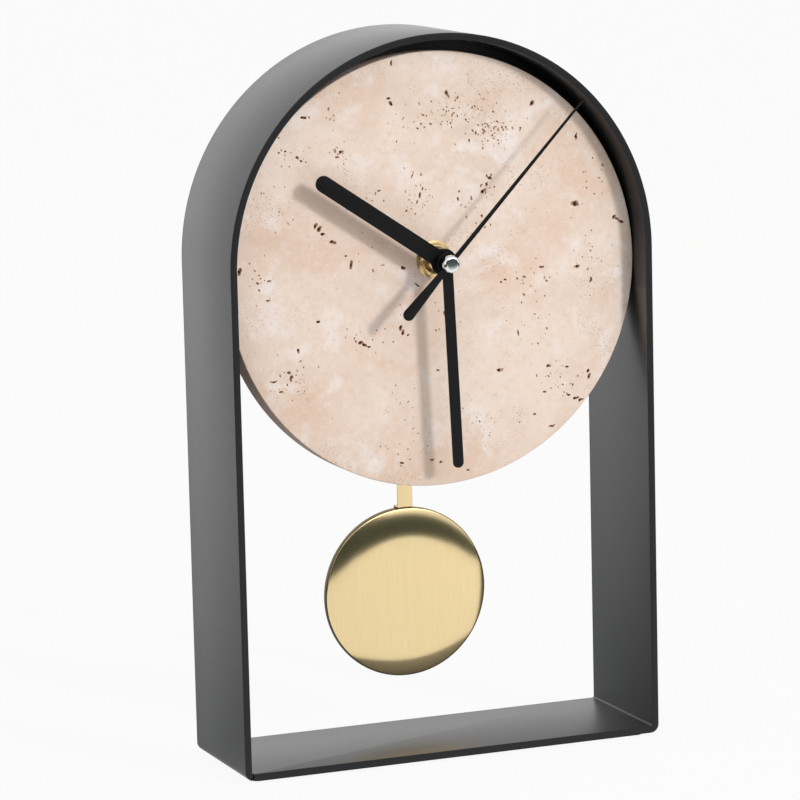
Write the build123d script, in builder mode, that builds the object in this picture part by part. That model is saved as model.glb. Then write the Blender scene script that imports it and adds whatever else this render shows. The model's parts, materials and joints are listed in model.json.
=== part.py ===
from build123d import *
from math import cos, radians, sin
import os

# Desk pendulum clock: a steel arch that holds a stone dial, a quartz movement and a pendulum.
# X runs to the right, Y to the rear, Z up. The origin is on the table, in the middle of the footprint.
# Depths are counted to the rear from the front edge of the frame, and all lengths are millimetres.

# Frame: one flat steel strip, bent into an arch over a flat base
frame_width = 180.0
frame_depth = 58.0
frame_wall = 2.7
arch_rise = 200.9  # from the underside of the base to the centre of the arch
corner_round = 3.5
edge_break = 0.4
seam_width = 0.7
seam_reach = 1.2

# Rubber feet: two strips across the base
foot_height = 1.5
foot_width = 10.0
foot_from_side = 4.5
foot_from_edge = 4.0
foot_corner = 3.0
foot_edge = 0.4

# Stone dial, a disc that hangs a little under the centre of the arch
dial_recess = 12.0
dial_thickness = 13.0
dial_side_gap = 0.3
dial_drop = 4.8
dial_edge = 0.4
bore_gap = 0.3

# Back plate and what joins it to the stone and the frame
film_thickness = 0.3
film_inset = 6.0
film_window = 18.0
plate_thickness = 2.0
plate_edge_gap = 0.1
plate_skirt = 18.0
weld_leg = 2.0
weld_gap = 0.05
weld_sweep = 6.0  # degrees
weld_bearings = (8.0, 52.0, 90.0, 128.0, 172.0)  # degrees round the arch
gasket_diameter = 30.0
gasket_thickness = 1.0

# Spindle: arbor, tubes and the threaded bushing that clamps the stone
spindle_drop = 0.6  # under the centre of the arch
arbor_diameter = 1.0
minute_tube_diameter = 3.2
hour_tube_diameter = 5.1
bushing_diameter = 7.8
bushing_proud = 1.8
flange_diameter = 11.0
flange_thickness = 0.8
running_gap = 0.05
nut_across_flats = 11.5
nut_thickness = 2.5
washer_diameter = 15.2
washer_thickness = 0.5

# Hands, with the angles at which they stand, clockwise from twelve in degrees
hand_spacing = 3.2
hour_hand_recess = 1.25
hand_thickness = 0.5
tube_proud = 0.4
hour_hand_length = 63.8
hour_hand_width = 6.6
hour_eye_diameter = 10.8
hour_hand_angle = 304.3
minute_hand_length = 82.3
minute_hand_width = 4.5
minute_eye_diameter = 8.4
minute_hand_angle = 177.9
second_hand_length = 85.5
second_hand_root = 1.9
second_hand_point = 0.9
second_tail_length = 28.5
second_tail_root = 2.1
second_tail_width = 4.7
second_hub_diameter = 5.0
second_boss_diameter = 2.0
second_boss_length = 1.5
second_hand_angle = 43.6
cap_diameter = 7.2
cap_height = 2.3
cap_round = 1.5
cap_grip = 1.2

# Movement case
case_wall = 1.5
case_corner = 3.0
room_corner = 1.0
lid_thickness = 1.5
bay_drop = 11.3
bay_floor = 0.6
bay_clearance = 0.25
bay_front_gap = 0.45
coil_room_margin = 5.5

# Battery and its contacts
battery_diameter = 14.5
battery_length = 50.5
battery_edge = 0.6
terminal_diameter = 5.5
terminal_length = 1.0
contact_thickness = 0.4
contact_width = 10.0
spring_length = 1.7
spring_foot_diameter = 7.0
spring_taper = 40.0  # degrees

# Gear train: tooth counts, modules and the bearings of the arbors from each other, in degrees
rotor_leaves = 8
intermediate_teeth = 48
intermediate_leaves = 8
seconds_teeth = 40
seconds_leaves = 8
third_teeth = 64
third_leaves = 8
centre_teeth = 60
cannon_leaves = 12
minute_teeth = 36
minute_leaves = 10
hour_teeth = 40
setting_leaves = 12
rotor_module = 0.20
seconds_module = 0.25
third_module = 0.22
motion_module = 0.36
intermediate_bearing = 150.0
rotor_bearing = 150.0
third_bearing = 60.0
minute_wheel_bearing = 0.0
setting_bearing = 35.0
addendum_share = 0.9  # of the module
dedendum_share = 1.2  # of the module
tooth_shares = (0.24, 0.20, 0.10)  # half widths at root, pitch line and tip, of one tooth's turn
wheel_thickness = 0.8
pinion_length = 1.2
pinion_lap = 0.2
level_gap = 0.4
train_arbor_diameter = 0.8
rotor_arbor_diameter = 0.6
setting_shaft_diameter = 2.0
pivot_depth = 1.0
pivot_end_gap = 0.1
boss_diameter = 2.4
boss_gap = 0.4
rotor_boss_length = 0.4
clutch_height = 0.6
clutch_diameter = 6.4
clutch_sheet = 0.2
tube_flange_diameter = 4.6
tube_flange_thickness = 0.3
middle_plate_thickness = 0.8
post_diameter = 3.0
peg_diameter = 1.4
peg_proud = 0.4
post_margin = 3.0
post_rise = 13.9
post_fall = 6.9
plate_margin = 2.0
magnet_diameter = 3.4
magnet_thickness = 1.4
knob_diameter = 12.0
knob_thickness = 3.5
knob_gap = 0.4
flute_count = 16
flute_diameter = 1.2

# Stepper motor and circuit board
stator_thickness = 0.8
stator_hole_gap = 0.4
stator_ring_width = 1.6
stator_arm_width = 3.0
coil_spacing = 11.5  # from the rotor to the coil
coil_length = 15.0
coil_flange_diameter = 4.4
coil_winding_diameter = 3.8
coil_flange_thickness = 0.6
core_width = 2.6
core_tab = 3.6
board_width = 38.0
board_height = 9.0
board_thickness = 1.0
board_rise = 21.0  # over the spindle
board_depth = 6.2  # behind the train room's floor
board_margin = 1.0
board_post_spacing = 30.0
chip_diameter = 5.0
chip_height = 1.0
chip_offset = 4.0
crystal_diameter = 2.0
crystal_length = 6.0
crystal_offset = 6.0

# Pendulum drive: a coil in the case and a magnet on the lever
pivot_pin_diameter = 2.0
pivot_head_diameter = 4.4
pivot_head_thickness = 0.7
pivot_boss_diameter = 5.0
pivot_boss_length = 3.0
pivot_boss_gap = 3.7  # under the wall of the battery bay
lever_gap = 0.7
lever_thickness = 4.0
lever_eye_diameter = 8.0
lever_tip_diameter = 9.0
lever_length = 26.0
lever_magnet_drop = 16.0
lever_magnet_diameter = 6.0
lever_magnet_thickness = 1.5
drive_coil_diameter = 14.0
drive_coil_bore = 5.0
drive_coil_length = 4.5
drive_coil_gap = 0.3
drive_post_diameter = 10.0
lip_width = 0.8
lip_gap = 0.1
hook_peg_diameter = 2.4
hook_peg_proud = 0.8

# Pendulum rod and bob
rod_width = 6.5
rod_thickness = 0.8
rod_top = 14.0  # under the pivot
rod_hook_drop = 20.0  # from the pivot to the hook peg
rod_tail = 8.0  # under the centre of the bob
rod_step = 4.0  # to the rear, over the bob
rod_step_gap = 0.1
bob_drop = 107.9  # from the pivot to the centre of the bob
bob_diameter = 70.4
bob_crown_radius = 22.0
bob_crown_tilt = 4.1  # degrees, where the flat crown ends
bob_edge_tilt = 12.0  # degrees, where the rim starts
bob_rim_round = 1.8
bob_sheet = 0.7
bob_back_thickness = 0.8
bob_back_gap = 0.1
stud_diameter = 3.0
stud_length = 5.0
rating_nut_diameter = 9.0
rating_nut_thickness = 2.5
rating_flutes = 18
rating_flute_diameter = 0.8

overrun = 1.0

# Main places, worked out from the sizes above
half_width = frame_width / 2
inner_half = half_width - frame_wall
hand_front = hour_hand_recess - 2 * hand_spacing
cap_reach = cap_height - hand_front
front_plane = (cap_reach - frame_depth) / 2
frame_middle = front_plane + frame_depth / 2
arch_z = foot_height + arch_rise
dial_z = arch_z - dial_drop
dial_radius = inner_half - dial_side_gap
spindle_z = arch_z - spindle_drop
spindle = (0, spindle_z)

film_front = dial_recess + dial_thickness
plate_front = film_front + film_thickness
gasket_front = plate_front + plate_thickness
case_front = gasket_front + gasket_thickness
train_floor = case_front + case_wall
nut_front = dial_recess - washer_thickness - nut_thickness
bushing_front = nut_front - bushing_proud
bushing_rear = train_floor - flange_thickness
plate_bottom = spindle_z - plate_skirt

minute_hand_front = hour_hand_recess - hand_spacing
arbor_front = hand_front - cap_grip
hour_tube_front = hour_hand_recess - tube_proud
minute_tube_front = minute_hand_front - tube_proud

# Levels of the train, from the front of the case to the rear
hour_wheel_front = train_floor + level_gap
minute_pinion_front = hour_wheel_front - pinion_lap
cannon_front = minute_pinion_front + pinion_length + level_gap
minute_wheel_front = cannon_front + pinion_lap
clutch_front = cannon_front + pinion_length
centre_wheel_front = clutch_front + clutch_height
tube_flange_front = centre_wheel_front + wheel_thickness
third_pinion_front = centre_wheel_front - pinion_lap
middle_plate_front = third_pinion_front + pinion_length + level_gap
middle_plate_rear = middle_plate_front + middle_plate_thickness
seconds_pinion_front = middle_plate_rear + level_gap
third_wheel_front = seconds_pinion_front + pinion_lap
intermediate_pinion_front = seconds_pinion_front + pinion_length + level_gap
seconds_wheel_front = intermediate_pinion_front + pinion_lap
rotor_pinion_front = intermediate_pinion_front + pinion_length + level_gap
intermediate_wheel_front = rotor_pinion_front + pinion_lap
magnet_front = rotor_pinion_front + pinion_length + pinion_lap
stator_front = magnet_front + (magnet_thickness - stator_thickness) / 2
core_front = stator_front - stator_thickness
third_boss_front = third_wheel_front + wheel_thickness + boss_gap
inner_boss_front = intermediate_wheel_front + wheel_thickness + boss_gap
rotor_boss_front = magnet_front + magnet_thickness + boss_gap
lid_front = rotor_boss_front + rotor_boss_length
case_rear = lid_front + lid_thickness
knob_front = case_rear + knob_gap


def away(place, distance, bearing):
    """Place at a distance from another, in a direction counted anticlockwise from the right."""
    return (place[0] + distance * cos(radians(bearing)), place[1] + distance * sin(radians(bearing)))


# Places of the arbors, seen from the front as X and height
rotor_distance = rotor_module * (rotor_leaves + intermediate_teeth) / 2
seconds_distance = seconds_module * (intermediate_leaves + seconds_teeth) / 2
third_distance = third_module * (seconds_leaves + third_teeth) / 2
centre_module = 2 * third_distance / (third_leaves + centre_teeth)
minute_distance = motion_module * (cannon_leaves + minute_teeth) / 2
hour_module = 2 * minute_distance / (minute_leaves + hour_teeth)
setting_distance = motion_module * (minute_teeth + setting_leaves) / 2
intermediate_place = away(spindle, seconds_distance, intermediate_bearing)
rotor_place = away(intermediate_place, rotor_distance, rotor_bearing)
third_place = away(spindle, third_distance, third_bearing)
minute_place = away(spindle, minute_distance, minute_wheel_bearing)
setting_place = away(minute_place, setting_distance, setting_bearing)
coil_place = (rotor_place[0] - coil_spacing, rotor_place[1])
core_reach = (coil_length + core_tab) / 2
core_ends = [(coil_place[0], coil_place[1] + side * core_reach) for side in (-1, 1)]
post_columns = (rotor_place[0] - post_margin, setting_place[0] + post_margin)
post_places = [(x, spindle_z + rise) for x in post_columns for rise in (-post_fall, post_rise)]
board_place = (0, spindle_z + board_rise)
board_posts = [(side * board_post_spacing / 2, board_place[1]) for side in (-1, 1)]
board_front = train_floor + board_depth

# Case, sized by what it holds
bay_height = battery_diameter + 2 * bay_clearance
bay_width = battery_length + 2 * contact_thickness + spring_length
case_width = bay_width + 2 * case_wall
case_above = board_rise + board_height / 2 + board_margin + case_wall
pendulum_drop = bay_drop + bay_height + case_wall + pivot_boss_gap + pivot_boss_diameter / 2
coil_drop = pendulum_drop + lever_magnet_drop + drive_coil_diameter / 2
case_below = coil_drop + coil_room_margin + case_wall
bay_place = (0, spindle_z - bay_drop - bay_height / 2)
bay_front = case_front + bay_floor
battery_depth = bay_front + bay_front_gap + battery_diameter / 2
case_height = case_above + case_below
case_middle = spindle_z + (case_above - case_below) / 2
train_room = (spindle_z - bay_drop + case_wall, spindle_z + case_above - case_wall)
coil_room = (spindle_z - case_below + case_wall, spindle_z - bay_drop - bay_height - case_wall)
pivot_place = (0, spindle_z - pendulum_drop)
drive_place = (0, pivot_place[1] - lever_magnet_drop)
drive_coil_front = lid_front - drive_coil_gap - drive_coil_length
lever_front = case_rear + lever_gap
lever_rear = lever_front + lever_thickness
pin_head_front = lever_rear + running_gap
bob_z = pivot_place[1] - bob_drop
rod_rear = lever_rear + rod_thickness
bob_back_rear = lever_rear + rod_step
bob_rim = bob_back_rear - bob_back_thickness
crown_sine = sin(radians(bob_crown_tilt))
edge_sine = sin(radians(bob_edge_tilt))
crown_arc = bob_crown_radius / crown_sine
shoulder = bob_diameter / 2 - bob_rim_round * (1 - edge_sine)
shoulder_arc = (shoulder - bob_crown_radius) / (edge_sine - crown_sine)
crown_depth = crown_arc * (1 - cos(radians(bob_crown_tilt)))
shoulder_depth = shoulder_arc * (cos(radians(bob_crown_tilt)) - cos(radians(bob_edge_tilt)))
bob_depth = crown_depth + shoulder_depth + bob_rim_round * cos(radians(bob_edge_tilt))
bob_front = bob_rim - bob_depth


def level(depth):
    """Plane across the clock at a depth, seen from the front."""
    return Plane.XZ.offset(-(front_plane + depth))


def hand_level(depth, clock_angle):
    """The same plane, with its origin on the spindle and its own up turned to a clock angle."""
    turn = radians(clock_angle)
    return Plane((0, front_plane + depth, spindle_z), x_dir=(cos(turn), 0, -sin(turn)), z_dir=(0, -1, 0))


def bar(place, diameter, front, rear, mode=Mode.ADD):
    """Round bar or bore along the depth, for the part being built."""
    with BuildSketch(level(front)) as section:
        with Locations(place):
            Circle(diameter / 2)
    extrude(section.sketch, amount=front - rear, mode=mode)


def bore(place, diameter, front, rear):
    """Round hole along the depth, for the part being built."""
    bar(place, diameter, front, rear, mode=Mode.SUBTRACT)


def toothed(place, teeth, gear_module, phase, front, thickness):
    """Toothed wheel for the part being built, with a tooth that points at the phase in degrees."""
    pitch_radius = gear_module * teeth / 2
    root_radius = pitch_radius - dedendum_share * gear_module
    tip_radius = pitch_radius + addendum_share * gear_module
    flank = list(zip((root_radius, pitch_radius, tip_radius), tooth_shares))
    turn = 360 / teeth
    points = []
    for tooth in range(teeth):
        middle = phase + tooth * turn
        points += [away(place, radius, middle - share * turn) for radius, share in flank]
        points += [away(place, radius, middle + share * turn) for radius, share in reversed(flank)]
    with BuildSketch(level(front)) as outline:
        with BuildLine():
            Polyline(*points, close=True)
        make_face()
    extrude(outline.sketch, amount=-thickness)


def meshing_phase(phase, teeth, bearing, mate_teeth):
    """Phase of the mate that stands at a bearing from a wheel, so that each tooth meets a gap."""
    lead = (phase - bearing) % (360 / teeth)
    return bearing + 180 - lead * teeth / mate_teeth + 180 / mate_teeth


def save(piece, name):
    """Label a finished piece and write it as its own file."""
    piece.part.label = name
    export_step(piece.part, f"parts/{name}.step")


# Frame band: bent strip with a butt seam at the lower left inner corner
with BuildPart() as frame_band:
    with BuildSketch(level(0)) as band_outline:
        with Locations((0, arch_z)):
            Circle(half_width)
        with Locations((0, foot_height + arch_rise / 2)):
            Rectangle(frame_width, arch_rise)
        fillet(band_outline.vertices().group_by(Axis.Y)[0], corner_round)
        offset(amount=-frame_wall, mode=Mode.SUBTRACT)
    extrude(amount=-frame_depth)
    chamfer(frame_band.edges().group_by(Axis.Y)[0] + frame_band.edges().group_by(Axis.Y)[-1], edge_break)
    with BuildSketch(level(-overrun), level(frame_depth - seam_reach)):
        with Locations((seam_width / 2 - inner_half, foot_height + frame_wall / 2)):
            Rectangle(seam_width, frame_wall + overrun)
    extrude(amount=-(overrun + seam_reach), mode=Mode.SUBTRACT)
save(frame_band, "frame_band")

# Rubber feet, a strip along the front of the base and one along the rear
with BuildPart() as rubber_feet:
    with BuildSketch():
        with Locations((0, frame_middle)):
            with GridLocations(0, frame_depth - 2 * foot_from_edge - foot_width, 1, 2):
                RectangleRounded(frame_width - 2 * foot_from_side, foot_width, foot_corner)
    extrude(amount=foot_height)
    chamfer(rubber_feet.edges().group_by(Axis.Z)[0], foot_edge)
save(rubber_feet, "rubber_feet")

# Stone dial, bored above its centre for the spindle
with BuildPart() as stone_dial:
    bar((0, dial_z), 2 * dial_radius, dial_recess, film_front)
    chamfer(stone_dial.edges(), dial_edge)
    bore(spindle, bushing_diameter + 2 * bore_gap, dial_recess - overrun, film_front + overrun)
save(stone_dial, "stone_dial")

# Adhesive film between the stone and the plate, cut out round the spindle
with BuildPart() as adhesive_film:
    with BuildSketch(level(film_front)):
        with Locations((0, dial_z)):
            Circle(dial_radius - film_inset)
        with Locations((0, plate_bottom + film_inset)):
            Rectangle(frame_width, frame_width, align=(Align.CENTER, Align.MAX), mode=Mode.SUBTRACT)
        with Locations(spindle):
            Circle(film_window / 2, mode=Mode.SUBTRACT)
    extrude(amount=-film_thickness)
save(adhesive_film, "adhesive_film")

# Back plate that fills the arch behind the stone, with a straight lower edge
with BuildPart() as back_plate:
    with BuildSketch(level(plate_front)):
        with Locations((0, arch_z)):
            Circle(inner_half - plate_edge_gap)
            Rectangle(2 * (inner_half - plate_edge_gap), inner_half, align=(Align.CENTER, Align.MAX))
        with Locations((0, plate_bottom)):
            Rectangle(frame_width, frame_width, align=(Align.CENTER, Align.MAX), mode=Mode.SUBTRACT)
        with Locations(spindle):
            Circle(bushing_diameter / 2 + bore_gap, mode=Mode.SUBTRACT)
    extrude(amount=-plate_thickness)
save(back_plate, "back_plate")

# Short weld beads in the corner between the plate and the arch
arch_axis = Axis((0, 0, arch_z), (0, 1, 0))
weld_radius = inner_half - weld_gap
with BuildPart() as plate_welds:
    for bearing in weld_bearings:
        turn = radians(bearing + weld_sweep / 2)
        corner = (weld_radius * cos(turn), front_plane + gasket_front, arch_z + weld_radius * sin(turn))
        with BuildSketch(Plane(corner, x_dir=(cos(turn), 0, sin(turn)), z_dir=(-sin(turn), 0, cos(turn)))):
            with BuildLine():
                Polyline((0, 0), (-weld_leg, 0), (0, weld_leg), close=True)
            make_face()
        revolve(axis=arch_axis, revolution_arc=weld_sweep)
save(plate_welds, "plate_welds")

# Gasket between the plate and the movement
with BuildPart() as case_gasket:
    bar(spindle, gasket_diameter, gasket_front, case_front)
    bore(spindle, bushing_diameter + 2 * running_gap, gasket_front - overrun, case_front + overrun)
save(case_gasket, "case_gasket")

# Threaded bushing, whose flange sits in the floor of the train room
with BuildPart() as threaded_bushing:
    bar(spindle, bushing_diameter, bushing_front, train_floor)
    bar(spindle, flange_diameter, bushing_rear, train_floor)
    bore(spindle, hour_tube_diameter + 2 * running_gap, bushing_front - overrun, train_floor + overrun)
save(threaded_bushing, "threaded_bushing")

# Washer and nut that clamp the stone from the front
with BuildPart() as clamp_washer:
    bar(spindle, washer_diameter, dial_recess - washer_thickness, dial_recess)
    bore(spindle, bushing_diameter + 2 * running_gap, nut_front, dial_recess + overrun)
save(clamp_washer, "clamp_washer")

with BuildPart() as hex_nut:
    with BuildSketch(level(nut_front)):
        with Locations(spindle):
            RegularPolygon(nut_across_flats / 2, 6, major_radius=False)
            Circle(bushing_diameter / 2 + running_gap, mode=Mode.SUBTRACT)
    extrude(amount=-nut_thickness)
save(hex_nut, "hex_nut")

# Movement body: train room above, open battery bay in the middle, coil room below
with BuildPart() as movement_body:
    with BuildSketch(level(case_front)):
        with Locations((0, case_middle)):
            RectangleRounded(case_width, case_height, case_corner)
    extrude(amount=case_front - lid_front)
    room_depth = case_rear - case_front
    with BuildSketch(level(train_floor)):
        for low, high in (train_room, coil_room):
            with Locations((0, (low + high) / 2)):
                RectangleRounded(bay_width, high - low, room_corner)
    extrude(amount=-room_depth, mode=Mode.SUBTRACT)
    with BuildSketch(level(bay_front)):
        with Locations(bay_place):
            Rectangle(bay_width, bay_height)
    extrude(amount=-room_depth, mode=Mode.SUBTRACT)
    for place in post_places:
        bar(place, post_diameter, train_floor, middle_plate_front)
        bar(place, peg_diameter, middle_plate_front, middle_plate_rear + peg_proud)
    for place in core_ends:
        bar(place, post_diameter, train_floor, core_front)
        bar(place, peg_diameter, core_front, stator_front + stator_thickness + peg_proud)
    for place in board_posts:
        bar(place, post_diameter, train_floor, board_front)
        bar(place, peg_diameter, board_front, board_front + board_thickness + peg_proud)
    bar(drive_place, drive_post_diameter, train_floor, drive_coil_front)
    spigot = drive_coil_bore - 2 * running_gap
    bar(drive_place, spigot, drive_coil_front, drive_coil_front + drive_coil_length)
    bore(spindle, bushing_diameter + 2 * running_gap, case_front - overrun, train_floor + overrun)
    bore(spindle, flange_diameter + 2 * running_gap, bushing_rear, train_floor + overrun)
    for place in (third_place, minute_place):
        bore(place, train_arbor_diameter + 2 * running_gap, train_floor - pivot_depth, train_floor + overrun)
    setting_bore = setting_shaft_diameter + 2 * running_gap
    bore(setting_place, setting_bore, train_floor - pivot_depth, train_floor + overrun)
save(movement_body, "movement_body")

# Middle plate, which holds the inner pivots and rests on four posts
plate_low = spindle_z - post_fall - plate_margin
plate_high = spindle_z + post_rise + plate_margin
with BuildPart() as middle_plate:
    with BuildSketch(level(middle_plate_front)):
        with Locations(((post_columns[0] + post_columns[1]) / 2, (plate_low + plate_high) / 2)):
            Rectangle(post_columns[1] - post_columns[0] + 2 * plate_margin, plate_high - plate_low)
        with Locations(*post_places):
            Circle(peg_diameter / 2 + running_gap, mode=Mode.SUBTRACT)
        with Locations(spindle):
            Circle(arbor_diameter / 2 + running_gap, mode=Mode.SUBTRACT)
        with Locations(intermediate_place, minute_place):
            Circle(train_arbor_diameter / 2 + running_gap, mode=Mode.SUBTRACT)
        with Locations(rotor_place):
            Circle(rotor_arbor_diameter / 2 + running_gap, mode=Mode.SUBTRACT)
        with Locations(third_place):
            Circle(train_arbor_diameter / 2 + bore_gap, mode=Mode.SUBTRACT)
        with Locations(setting_place):
            Circle(setting_shaft_diameter / 2 + running_gap, mode=Mode.SUBTRACT)
    extrude(amount=-middle_plate_thickness)
save(middle_plate, "middle_plate")

# Train cover with the rear pivots
train_edge = spindle_z - bay_drop + case_wall / 2
with BuildPart() as train_cover:
    with BuildSketch(level(lid_front)):
        with Locations((0, case_middle)):
            RectangleRounded(case_width, case_height, case_corner)
        with Locations((0, train_edge)):
            Rectangle(case_width, case_height, align=(Align.CENTER, Align.MIN), mode=Mode.INTERSECT)
    extrude(amount=-lid_thickness)
    pivots = (
        (third_place, train_arbor_diameter, third_boss_front),
        (spindle, arbor_diameter, inner_boss_front),
        (intermediate_place, train_arbor_diameter, inner_boss_front),
        (rotor_place, rotor_arbor_diameter, rotor_boss_front),
    )
    for place, diameter, boss_front in pivots:
        bar(place, boss_diameter, boss_front, lid_front)
        bore(place, diameter + 2 * running_gap, boss_front - overrun, boss_front + pivot_depth)
    bore(setting_place, setting_bore, lid_front - overrun, case_rear + overrun)
save(train_cover, "train_cover")

# Coil room cover, with the boss of the pendulum's pivot pin
coil_edge = spindle_z - bay_drop - bay_height - case_wall / 2
pin_front = lid_front - pivot_boss_length + running_gap
with BuildPart() as coil_cover:
    with BuildSketch(level(lid_front)):
        with Locations((0, case_middle)):
            RectangleRounded(case_width, case_height, case_corner)
        with Locations((0, coil_edge)):
            Rectangle(case_width, case_height, align=(Align.CENTER, Align.MAX), mode=Mode.INTERSECT)
    extrude(amount=-lid_thickness)
    bar(pivot_place, pivot_boss_diameter, lid_front - pivot_boss_length, lid_front)
    pin_bore = pivot_pin_diameter + 2 * running_gap
    bore(pivot_place, pin_bore, lid_front - pivot_boss_length - overrun, case_rear + overrun)
save(coil_cover, "coil_cover")

# Battery, with its contacts at the two ends of the bay
plus_face = bay_width / 2 - contact_thickness
minus_face = plus_face - battery_length
battery_axis = Plane((0, front_plane + battery_depth, bay_place[1]), x_dir=(0, 1, 0), z_dir=(1, 0, 0))
with BuildPart() as battery_cell:
    with BuildSketch(battery_axis.offset(minus_face)):
        Circle(battery_diameter / 2)
    extrude(amount=battery_length - terminal_length)
    chamfer(battery_cell.edges(), battery_edge)
    with BuildSketch(battery_axis.offset(plus_face - terminal_length)):
        Circle(terminal_diameter / 2)
    extrude(amount=terminal_length)
save(battery_cell, "battery_cell")

with BuildPart() as plate_contact:
    with BuildSketch(battery_axis.offset(plus_face)):
        Rectangle(contact_width, contact_width)
    extrude(amount=contact_thickness)
save(plate_contact, "plate_contact")

with BuildPart() as spring_contact:
    with BuildSketch(battery_axis.offset(-bay_width / 2)):
        Rectangle(contact_width, contact_width)
    extrude(amount=contact_thickness)
    with BuildSketch(battery_axis.offset(contact_thickness - bay_width / 2)):
        Circle(spring_foot_diameter / 2)
    extrude(amount=spring_length, taper=spring_taper)
save(spring_contact, "spring_contact")

# Circuit board with its chip and crystal
board_rear = board_front + board_thickness
with BuildPart() as circuit_board:
    with BuildSketch(level(board_front)):
        with Locations(board_place):
            Rectangle(board_width, board_height)
        with Locations(*board_posts):
            Circle(peg_diameter / 2 + running_gap, mode=Mode.SUBTRACT)
    extrude(amount=-board_thickness)
save(circuit_board, "circuit_board")

with BuildPart() as clock_chip:
    bar((board_place[0] - chip_offset, board_place[1]), chip_diameter, board_rear, board_rear + chip_height)
    chamfer(clock_chip.edges().group_by(Axis.Y)[-1], chip_height / 2)
save(clock_chip, "clock_chip")

crystal_y = front_plane + board_rear + crystal_diameter / 2
crystal_axis = Plane((crystal_offset, crystal_y, board_place[1]), x_dir=(0, 1, 0), z_dir=(1, 0, 0))
with BuildPart() as quartz_crystal:
    with BuildSketch(crystal_axis):
        Circle(crystal_diameter / 2)
    extrude(amount=crystal_length)
save(quartz_crystal, "quartz_crystal")

# Stepper motor: core, coil and stator round the rotor
with BuildPart() as coil_core:
    with BuildSketch(level(core_front)):
        with Locations(coil_place):
            Rectangle(core_width, coil_length + 2 * core_tab)
        with Locations(*core_ends):
            Circle(peg_diameter / 2 + running_gap, mode=Mode.SUBTRACT)
    extrude(amount=-stator_thickness)
save(coil_core, "coil_core")

coil_axis = Plane((coil_place[0], front_plane + core_front + stator_thickness / 2, coil_place[1]))
with BuildPart() as stepper_coil:
    with BuildSketch(coil_axis.offset(-coil_length / 2)):
        Circle(coil_winding_diameter / 2)
    extrude(amount=coil_length)
    far_flange = coil_length / 2 - coil_flange_thickness
    with BuildSketch(coil_axis.offset(-coil_length / 2), coil_axis.offset(far_flange)):
        Circle(coil_flange_diameter / 2)
    extrude(amount=coil_flange_thickness)
    with BuildSketch(coil_axis.offset(-coil_length / 2)):
        Rectangle(core_width + 2 * running_gap, stator_thickness + 2 * running_gap)
    extrude(amount=coil_length, mode=Mode.SUBTRACT)
save(stepper_coil, "stepper_coil")

stator_hole = magnet_diameter + 2 * stator_hole_gap
arm_length = coil_spacing + core_width / 2
with BuildPart() as stator:
    with BuildSketch(level(stator_front)):
        with Locations(rotor_place):
            Circle(stator_hole / 2 + stator_ring_width)
            Rectangle(stator_arm_width, 2 * core_reach + stator_arm_width)
        for end in core_ends:
            with Locations((end[0] - core_width / 2, end[1])):
                Rectangle(arm_length, stator_arm_width, align=(Align.MIN, Align.CENTER))
        with Locations(*core_ends):
            Circle(peg_diameter / 2 + running_gap, mode=Mode.SUBTRACT)
        with Locations(rotor_place):
            Circle(stator_hole / 2, mode=Mode.SUBTRACT)
    extrude(amount=-stator_thickness)
save(stator, "stator")

# Rotor: magnet on a pinion and arbor
rotor_phase = meshing_phase(0, intermediate_teeth, rotor_bearing, rotor_leaves)
with BuildPart() as rotor_pinion:
    toothed(rotor_place, rotor_leaves, rotor_module, rotor_phase, rotor_pinion_front, pinion_length)
    bar(rotor_place, rotor_arbor_diameter, middle_plate_front, rotor_boss_front + pivot_depth - pivot_end_gap)
save(rotor_pinion, "rotor_pinion")

with BuildPart() as rotor_magnet:
    bar(rotor_place, magnet_diameter, magnet_front, magnet_front + magnet_thickness)
    bore(rotor_place, rotor_arbor_diameter + 2 * running_gap, magnet_front - overrun, lid_front)
save(rotor_magnet, "rotor_magnet")

# Intermediate wheel, driven by the rotor
intermediate_phase = meshing_phase(0, seconds_teeth, intermediate_bearing, intermediate_leaves)
with BuildPart() as intermediate_wheel:
    toothed(
        intermediate_place, intermediate_teeth, rotor_module, 0, intermediate_wheel_front, wheel_thickness
    )
    toothed(
        intermediate_place,
        intermediate_leaves,
        seconds_module,
        intermediate_phase,
        intermediate_pinion_front,
        intermediate_wheel_front - intermediate_pinion_front,
    )
    bar(
        intermediate_place,
        train_arbor_diameter,
        middle_plate_front,
        inner_boss_front + pivot_depth - pivot_end_gap,
    )
save(intermediate_wheel, "intermediate_wheel")

# Seconds wheel on its steel arbor, which carries the second hand
with BuildPart() as seconds_wheel:
    toothed(spindle, seconds_teeth, seconds_module, 0, seconds_wheel_front, wheel_thickness)
    leaf_length = seconds_wheel_front - seconds_pinion_front
    toothed(spindle, seconds_leaves, third_module, 0, seconds_pinion_front, leaf_length)
    bore(spindle, arbor_diameter + 2 * running_gap, middle_plate_rear, lid_front)
save(seconds_wheel, "seconds_wheel")

with BuildPart() as seconds_arbor:
    bar(spindle, arbor_diameter, arbor_front, inner_boss_front + pivot_depth - pivot_end_gap)
save(seconds_arbor, "seconds_arbor")

# Third wheel, between the seconds and the centre wheel
third_wheel_phase = meshing_phase(0, seconds_leaves, third_bearing, third_teeth)
third_pinion_phase = meshing_phase(0, centre_teeth, third_bearing, third_leaves)
with BuildPart() as third_wheel:
    toothed(third_place, third_teeth, third_module, third_wheel_phase, third_wheel_front, wheel_thickness)
    toothed(third_place, third_leaves, centre_module, third_pinion_phase, third_pinion_front, pinion_length)
    bar(
        third_place,
        train_arbor_diameter,
        train_floor - pivot_depth + pivot_end_gap,
        third_boss_front + pivot_depth - pivot_end_gap,
    )
save(third_wheel, "third_wheel")

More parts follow.
